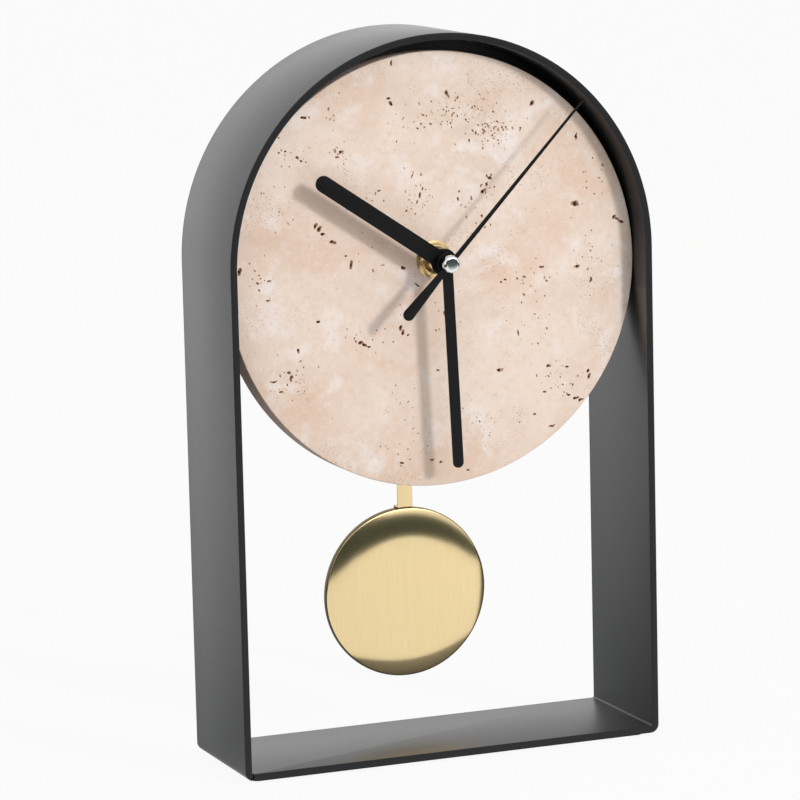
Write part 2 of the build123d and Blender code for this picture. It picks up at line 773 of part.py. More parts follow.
# Centre wheel, loose on the minute tube and held by the clutch spring
with BuildPart() as centre_wheel:
    toothed(spindle, centre_teeth, centre_module, 0, centre_wheel_front, wheel_thickness)
    bore(spindle, minute_tube_diameter + 2 * running_gap, centre_wheel_front - overrun, middle_plate_front)
save(centre_wheel, "centre_wheel")

# Minute tube with the cannon pinion and the flange that the centre wheel bears on
with BuildPart() as minute_tube:
    bar(spindle, minute_tube_diameter, minute_tube_front, tube_flange_front + tube_flange_thickness)
    toothed(spindle, cannon_leaves, motion_module, 0, cannon_front, pinion_length)
    bar(
        spindle,
        tube_flange_diameter,
        tube_flange_front + running_gap,
        tube_flange_front + tube_flange_thickness,
    )
    bore(spindle, arbor_diameter + 2 * running_gap, minute_tube_front - overrun, middle_plate_front)
save(minute_tube, "minute_tube")

# Clutch spring: a dished washer that presses the centre wheel on the flange
spindle_axis = Axis((0, 0, spindle_z), (0, 1, 0))
clutch_bore = minute_tube_diameter / 2 + running_gap
clutch_near = front_plane + clutch_front
clutch_far = front_plane + centre_wheel_front - running_gap
with BuildPart() as clutch_spring:
    with BuildSketch(Plane.YZ):
        with BuildLine():
            Polyline(
                (clutch_near, spindle_z + clutch_bore),
                (clutch_near + clutch_sheet, spindle_z + clutch_bore),
                (clutch_far, spindle_z + clutch_diameter / 2),
                (clutch_far - clutch_sheet, spindle_z + clutch_diameter / 2),
                close=True,
            )
        make_face()
    revolve(axis=spindle_axis)
save(clutch_spring, "clutch_spring")

# Motion work: minute wheel, hour wheel and the setting pinion
minute_wheel_phase = meshing_phase(0, cannon_leaves, minute_wheel_bearing, minute_teeth)
minute_pinion_phase = meshing_phase(0, hour_teeth, minute_wheel_bearing, minute_leaves)
with BuildPart() as minute_wheel:
    toothed(
        minute_place, minute_teeth, motion_module, minute_wheel_phase, minute_wheel_front, wheel_thickness
    )
    toothed(
        minute_place,
        minute_leaves,
        hour_module,
        minute_pinion_phase,
        minute_pinion_front,
        minute_wheel_front - minute_pinion_front,
    )
    bar(minute_place, train_arbor_diameter, train_floor - pivot_depth + pivot_end_gap, middle_plate_rear)
save(minute_wheel, "minute_wheel")

with BuildPart() as hour_wheel:
    bar(spindle, hour_tube_diameter, hour_tube_front, hour_wheel_front + wheel_thickness)
    toothed(spindle, hour_teeth, hour_module, 0, hour_wheel_front, wheel_thickness)
    bore(spindle, minute_tube_diameter + 2 * running_gap, hour_tube_front - overrun, cannon_front)
save(hour_wheel, "hour_wheel")

setting_phase = meshing_phase(minute_wheel_phase, minute_teeth, setting_bearing, setting_leaves)
with BuildPart() as setting_pinion:
    toothed(setting_place, setting_leaves, motion_module, setting_phase, cannon_front, pinion_length)
    bar(
        setting_place,
        setting_shaft_diameter,
        train_floor - pivot_depth + pivot_end_gap,
        knob_front + knob_thickness / 2,
    )
save(setting_pinion, "setting_pinion")

# Setting knob behind the case, with a fluted rim
with BuildPart() as setting_knob:
    bar(setting_place, knob_diameter, knob_front, knob_front + knob_thickness)
    with BuildSketch(level(knob_front)):
        with Locations(setting_place):
            with PolarLocations(knob_diameter / 2, flute_count):
                Circle(flute_diameter / 2)
    extrude(amount=-knob_thickness, mode=Mode.SUBTRACT)
    bore(
        setting_place,
        setting_shaft_diameter + 2 * running_gap,
        knob_front - overrun,
        knob_front + knob_thickness / 2,
    )
save(setting_knob, "setting_knob")


# Hands, cut from flat sheet
def straight_hand(length, width, eye_diameter, tube_diameter):
    """Sketch of a straight hand with a round end and a round eye, pointing up from the origin."""
    with BuildSketch() as outline:
        Circle(eye_diameter / 2)
        with Locations((0, (length - width / 2) / 2)):
            SlotCenterToCenter(length - width / 2, width, rotation=90)
        Circle(tube_diameter / 2 + running_gap, mode=Mode.SUBTRACT)
    return outline.sketch


with BuildPart() as hour_hand:
    with BuildSketch(hand_level(hour_hand_recess, hour_hand_angle)):
        add(straight_hand(hour_hand_length, hour_hand_width, hour_eye_diameter, hour_tube_diameter))
    extrude(amount=-hand_thickness)
save(hour_hand, "hour_hand")

with BuildPart() as minute_hand:
    with BuildSketch(hand_level(minute_hand_front, minute_hand_angle)):
        add(straight_hand(minute_hand_length, minute_hand_width, minute_eye_diameter, minute_tube_diameter))
    extrude(amount=-hand_thickness)
save(minute_hand, "minute_hand")

# Second hand: a needle, a tail that widens to a round end, and a boss on the arbor
with BuildPart() as second_hand:
    with BuildSketch(hand_level(hand_front, second_hand_angle)):
        Circle(second_hand_root / 2)
        with Locations((0, second_hand_length - second_hand_point / 2)):
            Circle(second_hand_point / 2)
        make_hull()
    with BuildSketch(hand_level(hand_front, second_hand_angle)):
        Circle(second_tail_root / 2)
        with Locations((0, second_tail_width / 2 - second_tail_length)):
            Circle(second_tail_width / 2)
        make_hull()
    extrude(amount=-hand_thickness)
    bar(spindle, second_hub_diameter, hand_front, hand_front + hand_thickness)
    bar(spindle, second_boss_diameter, hand_front, hand_front + hand_thickness + second_boss_length)
    bore(spindle, arbor_diameter + 2 * running_gap, hand_front - overrun, 0)
save(second_hand, "second_hand")

with BuildPart() as hand_cap:
    bar(spindle, cap_diameter, hand_front - cap_height, hand_front)
    fillet(hand_cap.edges().group_by(Axis.Y)[0], cap_round)
    bore(spindle, arbor_diameter + 2 * running_gap, arbor_front, hand_front + overrun)
save(hand_cap, "hand_cap")

# Pendulum drive coil in the case
with BuildPart() as drive_coil:
    bar(drive_place, drive_coil_diameter, drive_coil_front, drive_coil_front + drive_coil_length)
    bore(drive_place, drive_coil_bore, drive_coil_front - overrun, lid_front)
save(drive_coil, "drive_coil")

# Pivot pin with a head behind the lever
with BuildPart() as pivot_pin:
    bar(pivot_place, pivot_pin_diameter, pin_front, pin_head_front + pivot_head_thickness)
    bar(pivot_place, pivot_head_diameter, pin_head_front, pin_head_front + pivot_head_thickness)
save(pivot_pin, "pivot_pin")

# Pendulum lever: an eye on the pin, a pocket for the magnet and a hook peg for the rod
lip_centre = rod_width / 2 + lip_gap + lip_width / 2
lip_place = pivot_place[1] - rod_hook_drop
with BuildPart() as pendulum_lever:
    with BuildSketch(level(lever_front)):
        with Locations(pivot_place):
            Circle(lever_eye_diameter / 2)
        with Locations((0, pivot_place[1] - lever_length)):
            Circle(lever_tip_diameter / 2)
        make_hull()
    extrude(amount=-lever_thickness)
    with BuildSketch(level(lever_rear)):
        with Locations((-lip_centre, lip_place), (lip_centre, lip_place)):
            Rectangle(lip_width, rod_hook_drop - rod_top)
    extrude(amount=-rod_thickness)
    hook_place = (0, pivot_place[1] - rod_hook_drop)
    bar(hook_place, hook_peg_diameter, lever_rear, rod_rear + hook_peg_proud)
    bore(pivot_place, pin_bore, lever_front - overrun, lever_rear + overrun)
    bore(
        drive_place,
        lever_magnet_diameter + 2 * running_gap,
        lever_front - overrun,
        lever_front + lever_magnet_thickness,
    )
save(pendulum_lever, "pendulum_lever")

with BuildPart() as pendulum_magnet:
    bar(drive_place, lever_magnet_diameter, lever_front, lever_front + lever_magnet_thickness)
save(pendulum_magnet, "pendulum_magnet")

# Pendulum rod: a flat strip, bent square to the rear just above the bob and bolted behind it
rod_high = pivot_place[1] - rod_top
rod_low = bob_z - rod_tail
step_low = bob_z + bob_diameter / 2 + rod_step_gap
step_high = step_low + rod_thickness
rod_near = front_plane + lever_rear
rod_far = rod_near + rod_step
nut_seat = bob_back_rear + rod_thickness
with BuildPart() as pendulum_rod:
    with BuildSketch(Plane.YZ.offset(-rod_width / 2)):
        with BuildLine():
            Polyline(
                (rod_near, rod_high),
                (rod_near, step_low),
                (rod_far, step_low),
                (rod_far, rod_low),
                (rod_far + rod_thickness, rod_low),
                (rod_far + rod_thickness, step_high),
                (rod_near + rod_thickness, step_high),
                (rod_near + rod_thickness, rod_high),
                close=True,
            )
        make_face()
    extrude(amount=rod_width)
    bore(hook_place, hook_peg_diameter + 2 * running_gap, lever_front, rod_rear + overrun)
    bore((0, bob_z), stud_diameter + 2 * running_gap, bob_rim, nut_seat + overrun)
save(pendulum_rod, "pendulum_rod")

# Bob shell: spun sheet with a flat crown, a falling shoulder and a rounded rim, open behind
bob_axis = Axis((0, 0, bob_z), (0, 1, 0))
apex = front_plane + bob_front
with BuildPart() as bob_shell:
    with BuildSketch(Plane.YZ):
        with BuildLine():
            crown = JernArc((apex, bob_z), (0, 1), crown_arc, -bob_crown_tilt)
            fall = JernArc(crown @ 1, crown % 1, shoulder_arc, bob_crown_tilt - bob_edge_tilt)
            rim = JernArc(fall @ 1, fall % 1, bob_rim_round, bob_edge_tilt - 90)
            Polyline(rim @ 1, (front_plane + bob_rim, bob_z), (apex, bob_z))
        make_face()
    revolve(axis=bob_axis)
    offset(amount=-bob_sheet, openings=bob_shell.faces().sort_by(Axis.Y)[-1])
save(bob_shell, "bob_shell")

# Flat back plate of the bob, with a stud for the rod and the rating nut
bob_centre = (0, bob_z)
with BuildPart() as bob_back:
    bar(bob_centre, bob_diameter - 2 * bob_back_gap, bob_rim, bob_back_rear)
    bore(bob_centre, stud_diameter + 2 * running_gap, bob_rim - overrun, bob_back_rear + overrun)
save(bob_back, "bob_back")

with BuildPart() as bob_stud:
    bar(bob_centre, stud_diameter, bob_rim - bob_back_thickness, bob_rim - bob_back_thickness + stud_length)
    bar(bob_centre, 2 * stud_diameter, bob_rim - bob_back_thickness, bob_rim)
save(bob_stud, "bob_stud")

with BuildPart() as rating_nut:
    bar(bob_centre, rating_nut_diameter, nut_seat, nut_seat + rating_nut_thickness)
    with BuildSketch(level(nut_seat)):
        with Locations(bob_centre):
            with PolarLocations(rating_nut_diameter / 2, rating_flutes):
                Circle(rating_flute_diameter / 2)
    extrude(amount=-rating_nut_thickness, mode=Mode.SUBTRACT)
    bore(bob_centre, stud_diameter + 2 * running_gap, nut_seat - overrun, nut_seat + stud_length)
save(rating_nut, "rating_nut")
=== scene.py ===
# %% [markdown]
# # Desk pendulum clock
# The construction comes packed: every wheel, plate and hand is in its place and must stay there.
# This script dresses that frame. It models the pieces whose edges and surfaces show from close by,
# gives each of them a finish, and sets up the light, the floor and the camera.

# %% Load the frame
import json
from math import atan, cos, degrees, pi, radians, sin, sqrt

import bpy
from mathutils import Matrix, Vector


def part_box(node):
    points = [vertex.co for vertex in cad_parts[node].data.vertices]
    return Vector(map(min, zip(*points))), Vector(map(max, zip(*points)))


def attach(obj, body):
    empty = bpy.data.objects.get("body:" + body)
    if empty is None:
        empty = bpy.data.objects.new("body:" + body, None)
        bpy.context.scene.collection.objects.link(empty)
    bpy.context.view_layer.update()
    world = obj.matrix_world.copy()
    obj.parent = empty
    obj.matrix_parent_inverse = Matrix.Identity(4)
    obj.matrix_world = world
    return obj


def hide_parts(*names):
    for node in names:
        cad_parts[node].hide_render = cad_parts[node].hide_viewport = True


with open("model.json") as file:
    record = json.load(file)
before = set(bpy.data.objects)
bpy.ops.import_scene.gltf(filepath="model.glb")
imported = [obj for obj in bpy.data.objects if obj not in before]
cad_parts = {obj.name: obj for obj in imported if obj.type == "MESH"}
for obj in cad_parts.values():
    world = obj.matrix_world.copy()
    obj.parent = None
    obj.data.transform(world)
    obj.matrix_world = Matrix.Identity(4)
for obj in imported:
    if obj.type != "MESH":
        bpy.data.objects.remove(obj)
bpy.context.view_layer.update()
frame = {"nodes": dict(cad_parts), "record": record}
MM = 0.001
body_of_node = {node: body for body, nodes in frame["record"]["behaviour"]["bodies"].items() for node in nodes}
slot_of_node = {part["node"]: part["material_slot"] for part in frame["record"]["subparts"]}

# %% [markdown]
# ## Sizes read from the frame
# Sizes could be typed again here, but then they would drift apart from the construction. They are
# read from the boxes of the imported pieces, so that a dressed piece sits exactly where the plain one
# stands. Y grows to the rear, so the front of a piece is its lowest Y.

# %% Main places
frame_low, frame_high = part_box("frame_band")
dial_low, dial_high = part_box("stone_dial")
nut_low, nut_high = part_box("hex_nut")
bob_low, bob_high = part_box("bob_shell")
front_y = frame_low.y
half_width = frame_high.x
arch_z = frame_high.z - half_width
spindle_z = (nut_low.z + nut_high.z) / 2
dial_z = (dial_low.z + dial_high.z) / 2
dial_radius = dial_high.x
print(f"arch centre {arch_z / MM:.1f} mm up, spindle {spindle_z / MM:.1f}, dial centre {dial_z / MM:.1f}")

# %% [markdown]
# ## Selecting and applying
# Modelling operators act on whatever is selected, so each step starts by clearing the selection.
# Faces and edges are chosen by where they lie, never by their number, because numbers change as
# soon as the mesh does.


# %% Helpers for selecting
def only(piece):
    """Select this object alone and make it the active one."""
    if bpy.context.object and bpy.context.object.mode != "OBJECT":
        bpy.ops.object.mode_set(mode="OBJECT")
    bpy.ops.object.select_all(action="DESELECT")
    piece.hide_set(False)
    piece.select_set(True)
    bpy.context.view_layer.objects.active = piece
    return piece


def pick(piece, kind, test):
    """Enter edit mode with those vertices, edges or faces selected whose element passes the test."""
    only(piece)
    bpy.ops.object.mode_set(mode="EDIT")
    bpy.ops.mesh.select_mode(type={"vertices": "VERT", "edges": "EDGE", "polygons": "FACE"}[kind])
    bpy.ops.mesh.select_all(action="DESELECT")
    bpy.ops.object.mode_set(mode="OBJECT")
    chosen = 0
    for element in getattr(piece.data, kind):
        element.select = bool(test(element))
        chosen += element.select
    bpy.ops.object.mode_set(mode="EDIT")
    return chosen


def modify(piece, kind, **settings):
    """Add one modifier with these settings and apply it."""
    only(piece)
    modifier = piece.modifiers.new(kind.title(), kind)
    for name, value in settings.items():
        setattr(modifier, name, value)
    bpy.ops.object.modifier_apply(modifier=modifier.name)
    return piece


def settle(piece, name, smooth_under=35):
    """Put the object's origin at the world's, with the place in the mesh, and shade it by angle."""
    only(piece)
    bpy.ops.object.transform_apply(location=True, rotation=True, scale=True)
    bpy.ops.object.shade_smooth_by_angle(angle=radians(smooth_under), keep_sharp_edges=False)
    piece.name = name
    piece.data.name = name
    return piece


def wear(piece, material, body, slot, *nodes):
    """Give a new piece its finish, the body it moves with and the nodes that it stands for."""
    piece.data.materials.clear()
    piece.data.materials.append(material)
    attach(piece, body)
    if nodes:
        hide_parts(*nodes)
    return piece


# %% [markdown]
# ## A light way to write shader maths
# A material is a graph of nodes, and wiring it by hand hides the idea. Here one small class wraps
# a socket so that `1 - mask * 0.5` adds the Math nodes by itself, and one method adds any other
# node. Colours go through Mix nodes, because a Math node would turn them grey.


# %% Shader graph helper
class Wire:
    """A node's output, with plain arithmetic."""

    def __init__(self, graph, socket):
        self.graph = graph
        self.socket = socket

    def _math(self, operation, first, second):
        return self.graph.node("ShaderNodeMath", {"operation": operation}, {0: first, 1: second})

    def __add__(self, other):
        return self._math("ADD", self, other)

    def __sub__(self, other):
        return self._math("SUBTRACT", self, other)

    def __rsub__(self, other):
        return self._math("SUBTRACT", other, self)

    def __mul__(self, other):
        return self._math("MULTIPLY", self, other)

    def __truediv__(self, other):
        return self._math("DIVIDE", self, other)

    def __rtruediv__(self, other):
        return self._math("DIVIDE", other, self)

    def __pow__(self, other):
        return self._math("POWER", self, other)

    def __gt__(self, other):
        return self._math("GREATER_THAN", self, other)

    def __lt__(self, other):
        return self._math("LESS_THAN", self, other)

    __radd__ = __add__
    __rmul__ = __mul__


class Graph:
    """The node tree of a material or of the world."""

    def __init__(self, owner):
        owner.use_nodes = True
        self.tree = owner.node_tree
        self.tree.nodes.clear()

    def node(self, kind, settings=None, inputs=None, out=0):
        """Add a node: settings first, then values or wires by socket, and hand back an output."""
        made = self.tree.nodes.new(kind)
        for name, value in (settings or {}).items():
            if name == "stops":
                ramp = made.color_ramp
                while len(ramp.elements) < len(value):
                    ramp.elements.new(0.5)
                for element, (place, shade) in zip(ramp.elements, value):
                    element.position = place
                    element.color = shade if hasattr(shade, "__len__") else (shade, shade, shade, 1)
            else:
                setattr(made, name, value)
        for key, value in (inputs or {}).items():
            if isinstance(value, Wire):
                self.tree.links.new(value.socket, made.inputs[key])
            else:
                made.inputs[key].default_value = value
        return Wire(self, made.outputs[out])

    def mix(self, amount, first, second, blend="MIX"):
        """Mix two colours."""
        return self.node(
            "ShaderNodeMix", {"data_type": "RGBA", "blend_type": blend}, {0: amount, 6: first, 7: second}, 2
        )

    def ramp(self, amount, *stops):
        """Turn a number into a shade through the stops of a ramp."""
        return self.node("ShaderNodeValToRGB", {"stops": stops}, {0: amount})

    def place(self, scale=(1, 1, 1), turn=(0, 0, 0), shift=(0, 0, 0)):
        """Object coordinates in millimetres, scaled and turned."""
        point = self.node("ShaderNodeTexCoord", out="Object")
        size = tuple(share / MM for share in scale)
        return self.node("ShaderNodeMapping", {}, {"Vector": point, "Scale": size, "Rotation": turn, "Location": shift})

    def noise(self, point, scale=1.0, detail=4.0, rough=0.5, warp=0.0, out="Fac"):
        """Cloudy noise, with its scale in cells per millimetre."""
        inputs = {"Vector": point, "Scale": scale, "Detail": detail, "Roughness": rough, "Distortion": warp}
        return self.node("ShaderNodeTexNoise", {}, inputs, out)

    def bump(self, height, depth, strength=1.0, below=None):
        """Small relief: the height is a share, the depth its real size in millimetres."""
        inputs = {"Height": height, "Distance": depth * MM, "Strength": strength}
        if below is not None:
            inputs["Normal"] = below
        return self.node("ShaderNodeBump", {}, inputs, "Normal")

    def surface(self, **inputs):
        """Principled shader on the output. Words in a socket's name are joined by underscores."""
        named = {key.replace("_", " "): value for key, value in inputs.items()}
        shader = self.node("ShaderNodeBsdfPrincipled", {}, named, "BSDF")
        self.node_output(shader)
        return shader

    def node_output(self, shader, kind="ShaderNodeOutputMaterial"):
        """Connect a shader to the output node."""
        output = self.tree.nodes.new(kind)
        self.tree.links.new(shader.socket, output.inputs["Surface"])


def new_material(name):
    """A material with an empty graph."""
    material = bpy.data.materials.new(name)
    return material, Graph(material)


def colour(red, green, blue):
    """A colour from its screen values, 0 to 255, as the linear numbers that shaders use."""
    shares = (red / 255, green / 255, blue / 255)
    linear = [share / 12.92 if share <= 0.04045 else ((share + 0.055) / 1.055) ** 2.4 for share in shares]
    return (*linear, 1.0)


# %% [markdown]
# ## Camera
# The photograph was taken from a little above and from the left, with a long lens: the far edges
# of the arch are hardly smaller than the near ones. The camera stands at the place that fits the
# frame's edges, and looks along the direction that goes with it.

# %% Camera
camera_azimuth = radians(-21.7533)
camera_elevation = radians(9.2104)
camera_roll = radians(-1.3666)
camera_distance = 1667.2685 * MM
focal_share = 4221.3889 / 800  # focal length over picture width
aim = Vector((-20.7171 * MM, front_y, 147.0506 * MM + frame_low.z))
back = Vector(
    (
        sin(camera_azimuth) * cos(camera_elevation),
        -cos(camera_azimuth) * cos(camera_elevation),
        sin(camera_elevation),
    )
)
right = (-back).cross(Vector((0, 0, 1))).normalized()
up = right.cross(-back)
turned_right = right * cos(camera_roll) + up * sin(camera_roll)
turned_up = up * cos(camera_roll) - right * sin(camera_roll)
lens = bpy.data.cameras.new("camera")
lens.sensor_width = 36
lens.lens = focal_share * lens.sensor_width
lens.clip_end = 50
camera = bpy.data.objects.new("camera", lens)
bpy.context.scene.collection.objects.link(camera)
facing = Matrix((turned_right, turned_up, back)).transposed().to_4x4()
camera.matrix_world = Matrix.Translation(aim + back * camera_distance) @ facing
bpy.context.scene.camera = camera
bpy.context.scene.view_settings.view_transform = "Standard"
print("camera at", [round(value, 3) for value in camera.location], "lens", round(lens.lens, 1), "mm")

# %% [markdown]
# ## Room, floor and lamps
# Bright metal and dark paint show the room more than the lamps, so the room matters. The picture
# was made on a white table in a white room. In front of the clock the room is dark between the
# table and the ceiling, and this dark band is what the domed pendulum bob shows across its top.
# The world gives rays that light the clock a plain grey, and rays that mirrors send out see the
# white room with that band.

# %% World
world = bpy.data.worlds.new("room")
bpy.context.scene.world = world
room = Graph(world)
direction = room.node("ShaderNodeTexCoord", out="Generated")
axes = [room.node("ShaderNodeSeparateXYZ", {}, {0: direction}, name) for name in "XYZ"]
path = [room.node("ShaderNodeLightPath", out=name) for name in ("Is Camera Ray", "Is Glossy Ray", "Is Transmission Ray")]
band_high = 0.20
band_blur = 0.02
band_sag = 0.8
ceiling_bearing = radians(17)
sideways = axes[0] * cos(ceiling_bearing) + axes[1] * sin(ceiling_bearing)
to_right = room.node("ShaderNodeMath", {"operation": "MAXIMUM"}, {0: sideways, 1: 0.0})
to_left = room.node("ShaderNodeMath", {"operation": "MINIMUM"}, {0: sideways, 1: 0.0})
over_band = room.node(
    "ShaderNodeMapRange", {"interpolation_type": "SMOOTHSTEP"},
    {0: axes[2] + to_right * to_right * band_sag + to_left * 0.4, 1: band_high - band_blur, 2: band_high + band_blur},
)
band_bearing = radians(20)
ahead = axes[0] * sin(band_bearing) - axes[1] * cos(band_bearing)
in_front = room.node("ShaderNodeMapRange", {"interpolation_type": "SMOOTHSTEP"}, {0: ahead, 1: 0.35, 2: 0.75})
band = (1 - over_band) * in_front
band_shade = (0.055, 0.068, 0.063, 1)
mirrored = room.mix(band, (1, 1, 1, 1), band_shade)
plain_grey = (0.53, 0.515, 0.485, 1)
seen_directly = room.mix(path[1], plain_grey, mirrored)
white_for = room.node("ShaderNodeMath", {"operation": "MAXIMUM"}, {0: path[0], 1: path[2]})
shade = room.mix(white_for, seen_directly, (1, 1, 1, 1))
background = room.node("ShaderNodeBackground", {}, {"Color": shade, "Strength": 1.0})
room.node_output(background, "ShaderNodeOutputWorld")
print("dark band up to", band_high, "of the height of the room")

# %% [markdown]
# The floor has to look white and still hold the clock's shadow. A plain white diffuse floor
# would look grey under soft light, so for camera and mirror rays most of it is a steady white glow
# and the rest is the lit surface, on which the shadow falls. Mirrors also see where the white
# table ends in front and at its sides, beyond which lies the dark of the room.
# Behind the clock they see a painted shade that stands for the shadow the clock keeps off the table, which makes the
# sides of the frame darker towards the foot. The table they see is also painted a little dimmer towards the left, away
# from the lamp.

# %% Floor
table_bearing = radians(20)  # the white table runs towards the camera's right
table_reach = 1.05  # metres from the clock to its far edge, which is hollow in the middle
table_hollow = 1.2
table_half = 0.38
bpy.ops.object.select_all(action="DESELECT")
bpy.ops.mesh.primitive_circle_add(vertices=64, radius=6, fill_type="NGON", location=(0, 0, 0))
floor = bpy.context.object
floor.name = "floor"
floor_paint, paint = new_material("floor_white")
rays = [paint.node("ShaderNodeLightPath", out=name) for name in ("Is Camera Ray", "Is Glossy Ray", "Is Transmission Ray")]
seen = paint.node("ShaderNodeMath", {"operation": "MAXIMUM"}, {0: rays[0], 1: rays[1]})
seen = paint.node("ShaderNodeMath", {"operation": "MAXIMUM"}, {0: seen, 1: rays[2]})
spot = paint.node("ShaderNodeTexCoord", out="Object")
floor_x, floor_y = [paint.node("ShaderNodeSeparateXYZ", {}, {0: spot}, name) for name in "XY"]
ahead_of = floor_x * sin(table_bearing) - floor_y * cos(table_bearing)
beside = floor_x * cos(table_bearing) + floor_y * sin(table_bearing) - 0.03
beside = paint.node("ShaderNodeMath", {"operation": "ABSOLUTE"}, {0: beside})
past_edge = paint.node(
    "ShaderNodeMapRange", {"interpolation_type": "SMOOTHSTEP"},
    {0: ahead_of - beside * table_hollow, 1: table_reach - 0.2, 2: table_reach + 0.3},
)
past_side = paint.node(
    "ShaderNodeMapRange", {"interpolation_type": "SMOOTHSTEP"}, {0: beside, 1: table_half - 0.06, 2: table_half + 0.06}
)
off_table = paint.node("ShaderNodeMath", {"operation": "MAXIMUM"}, {0: past_edge, 1: past_side})
behind = paint.node(
    "ShaderNodeMapRange", {"interpolation_type": "SMOOTHSTEP"}, {0: floor_y, 1: -0.05, 2: 0.04}
)
# Painted shadow of the clock on the table behind it, seen only in mirrors.
shade_behind = paint.node(
    "ShaderNodeMapRange", {}, {0: floor_y * 0.15 - floor_x * 1.6, 1: 0.0, 2: 0.72, 3: 0.72, 4: 0.0}
)
dark_part = (off_table * (1 - behind) + shade_behind * behind) * rays[1]
# Painted shade: in mirrors the table dims towards the left, away from the lamp.
painted_dim_left = paint.node("ShaderNodeMapRange", {}, {0: floor_x, 1: 0.2, 2: -0.12, 3: 0.0, 4: 0.1}) * rays[1]
matt = paint.node("ShaderNodeBsdfDiffuse", {}, {"Color": (0.8, 0.8, 0.8, 1)}, "BSDF")
table_white = paint.mix(painted_dim_left, (1, 1, 1, 1), (0, 0, 0, 1))
floor_glow = paint.mix(dark_part, table_white, band_shade)
glow = paint.node("ShaderNodeEmission", {}, {"Color": floor_glow, "Strength": 1.0}, "Emission")
glow_share = 0.93
mirrored_share = 0.06
floor_shader = paint.node(
    "ShaderNodeMixShader", {}, {0: seen * glow_share + rays[1] * mirrored_share, 1: matt, 2: glow}, "Shader"
)
paint.node_output(floor_shader)
floor.data.materials.append(floor_paint)
print("floor radius 6 m")

# %% [markdown]
# One lamp stands high on the right in front and casts the shadows of the hands. A wide panel
# over the front is the bright ceiling that the rim of the bob mirrors as a white crescent. The
# rest of the light comes from the room, as in a light tent.

# %% Lamps
clock_middle = Vector((0, 0, 0.15))


def soft_lamp(name, direction, distance, size, height, power):
    """A rectangular area lamp that looks at the clock from a direction."""
    light = bpy.data.lights.new(name, "AREA")
    light.shape = "RECTANGLE"
    light.size = size
    light.size_y = height
    light.energy = power
    lamp = bpy.data.objects.new(name, light)
    bpy.context.scene.collection.objects.link(lamp)
    lamp.location = clock_middle + Vector(direction).normalized() * distance
    lamp.rotation_euler = Vector(direction).to_track_quat("Z", "Y").to_euler()
    return lamp


key_lamp = soft_lamp("key_lamp", (0.5, -1.0, 0.43), 2.2, 0.28, 0.28, 19.5)
key_lamp.visible_glossy = False  # mirrors see the room itself
ceiling_panel = soft_lamp("ceiling_panel", (0.32, -0.87, 0.38), 2.5, 1.7, 0.8, 7)
print("key lamp at", [round(value, 2) for value in key_lamp.location], "panel at", [round(value, 2) for value in ceiling_panel.location])

# %% [markdown]
# ## Powder coat
# The steel frame is sprayed with a dry powder that melts in the oven. It leaves a very dark, even
# skin with a fine grain, which breaks up reflections. The colour is nearly black: the grey that
# the sides show is the white room, mirrored at a low angle. On the cut edges and inside the arch
# the skin is thin and dull, on the open sides it is thick and has a sheen, so the sheen is a
# second layer with a mask. Bump gives the grain, and a slow noise makes it all a little uneven.

# %% Powder coat
powder_coat, coat = new_material("powder_coat")
spot = coat.place()
cloud = coat.noise(spot, 0.035, 4.0, 0.6)
grain = coat.noise(spot, 2.6, 2.0, 0.6)
peel = coat.noise(spot, 0.45, 2.0, 0.5)
coat_tone = coat.mix(cloud, (0.008, 0.0085, 0.010, 1), (0.013, 0.013, 0.015, 1))
grain_bump = coat.bump(grain, 0.015, 0.5)
coat_x, coat_y, coat_z = [
    coat.node("ShaderNodeSeparateXYZ", {}, {0: coat.node("ShaderNodeTexCoord", out="Object")}, name) for name in "XYZ"
]
edge_skin = 0.25 * MM
off_front = coat.node("ShaderNodeMapRange", {}, {0: coat_y, 1: frame_low.y + edge_skin, 2: frame_low.y + 2 * edge_skin})
off_rear = coat.node("ShaderNodeMapRange", {}, {0: coat_y, 1: frame_high.y - edge_skin, 2: frame_high.y - 2 * edge_skin})
from_arch = (coat_x * coat_x + (coat_z - arch_z) * (coat_z - arch_z)) ** 0.5
in_arch = coat.node("ShaderNodeMapRange", {}, {0: coat_z, 1: arch_z - 30 * MM, 2: arch_z + 10 * MM})
past_crown = coat.node("ShaderNodeMapRange", {}, {0: coat_x, 1: 18 * MM, 2: 46 * MM})
in_arch = in_arch * (from_arch < half_width - MM) * past_crown
mottle = coat.noise(spot, 0.28, 3.0, 0.55)
over_foot = coat.node("ShaderNodeMapRange", {}, {0: coat_z, 1: 5 * MM, 2: 60 * MM, 3: 0.72, 4: 1.0})
coat.surface(
    Base_Color=coat_tone,
    Roughness=0.36 + cloud * 0.12,
    IOR=1.4,
    Coat_Weight=off_front * off_rear * (1 - in_arch) * over_foot * (0.64 + cloud * 0.1 + mottle * 0.15),
    Coat_Roughness=0.3,
    Coat_IOR=1.58,
    Normal=coat.bump(peel, 0.03, 0.35, grain_bump),
)
print("powder coat:", len(coat.tree.nodes), "nodes")

# %% [markdown]
# ## Travertine
# Travertine is laid down by hot springs. This slab is cut along its bed, so it shows clouds
# and not stripes: pink and cream patches, whiter blotches, and sprays of tiny holes. Three noises
# of different size mix the tones. The deep pits are real holes in the mesh, and the colour turns
# brown where the surface lies behind the face of the dial. Only the finest specks are paint.

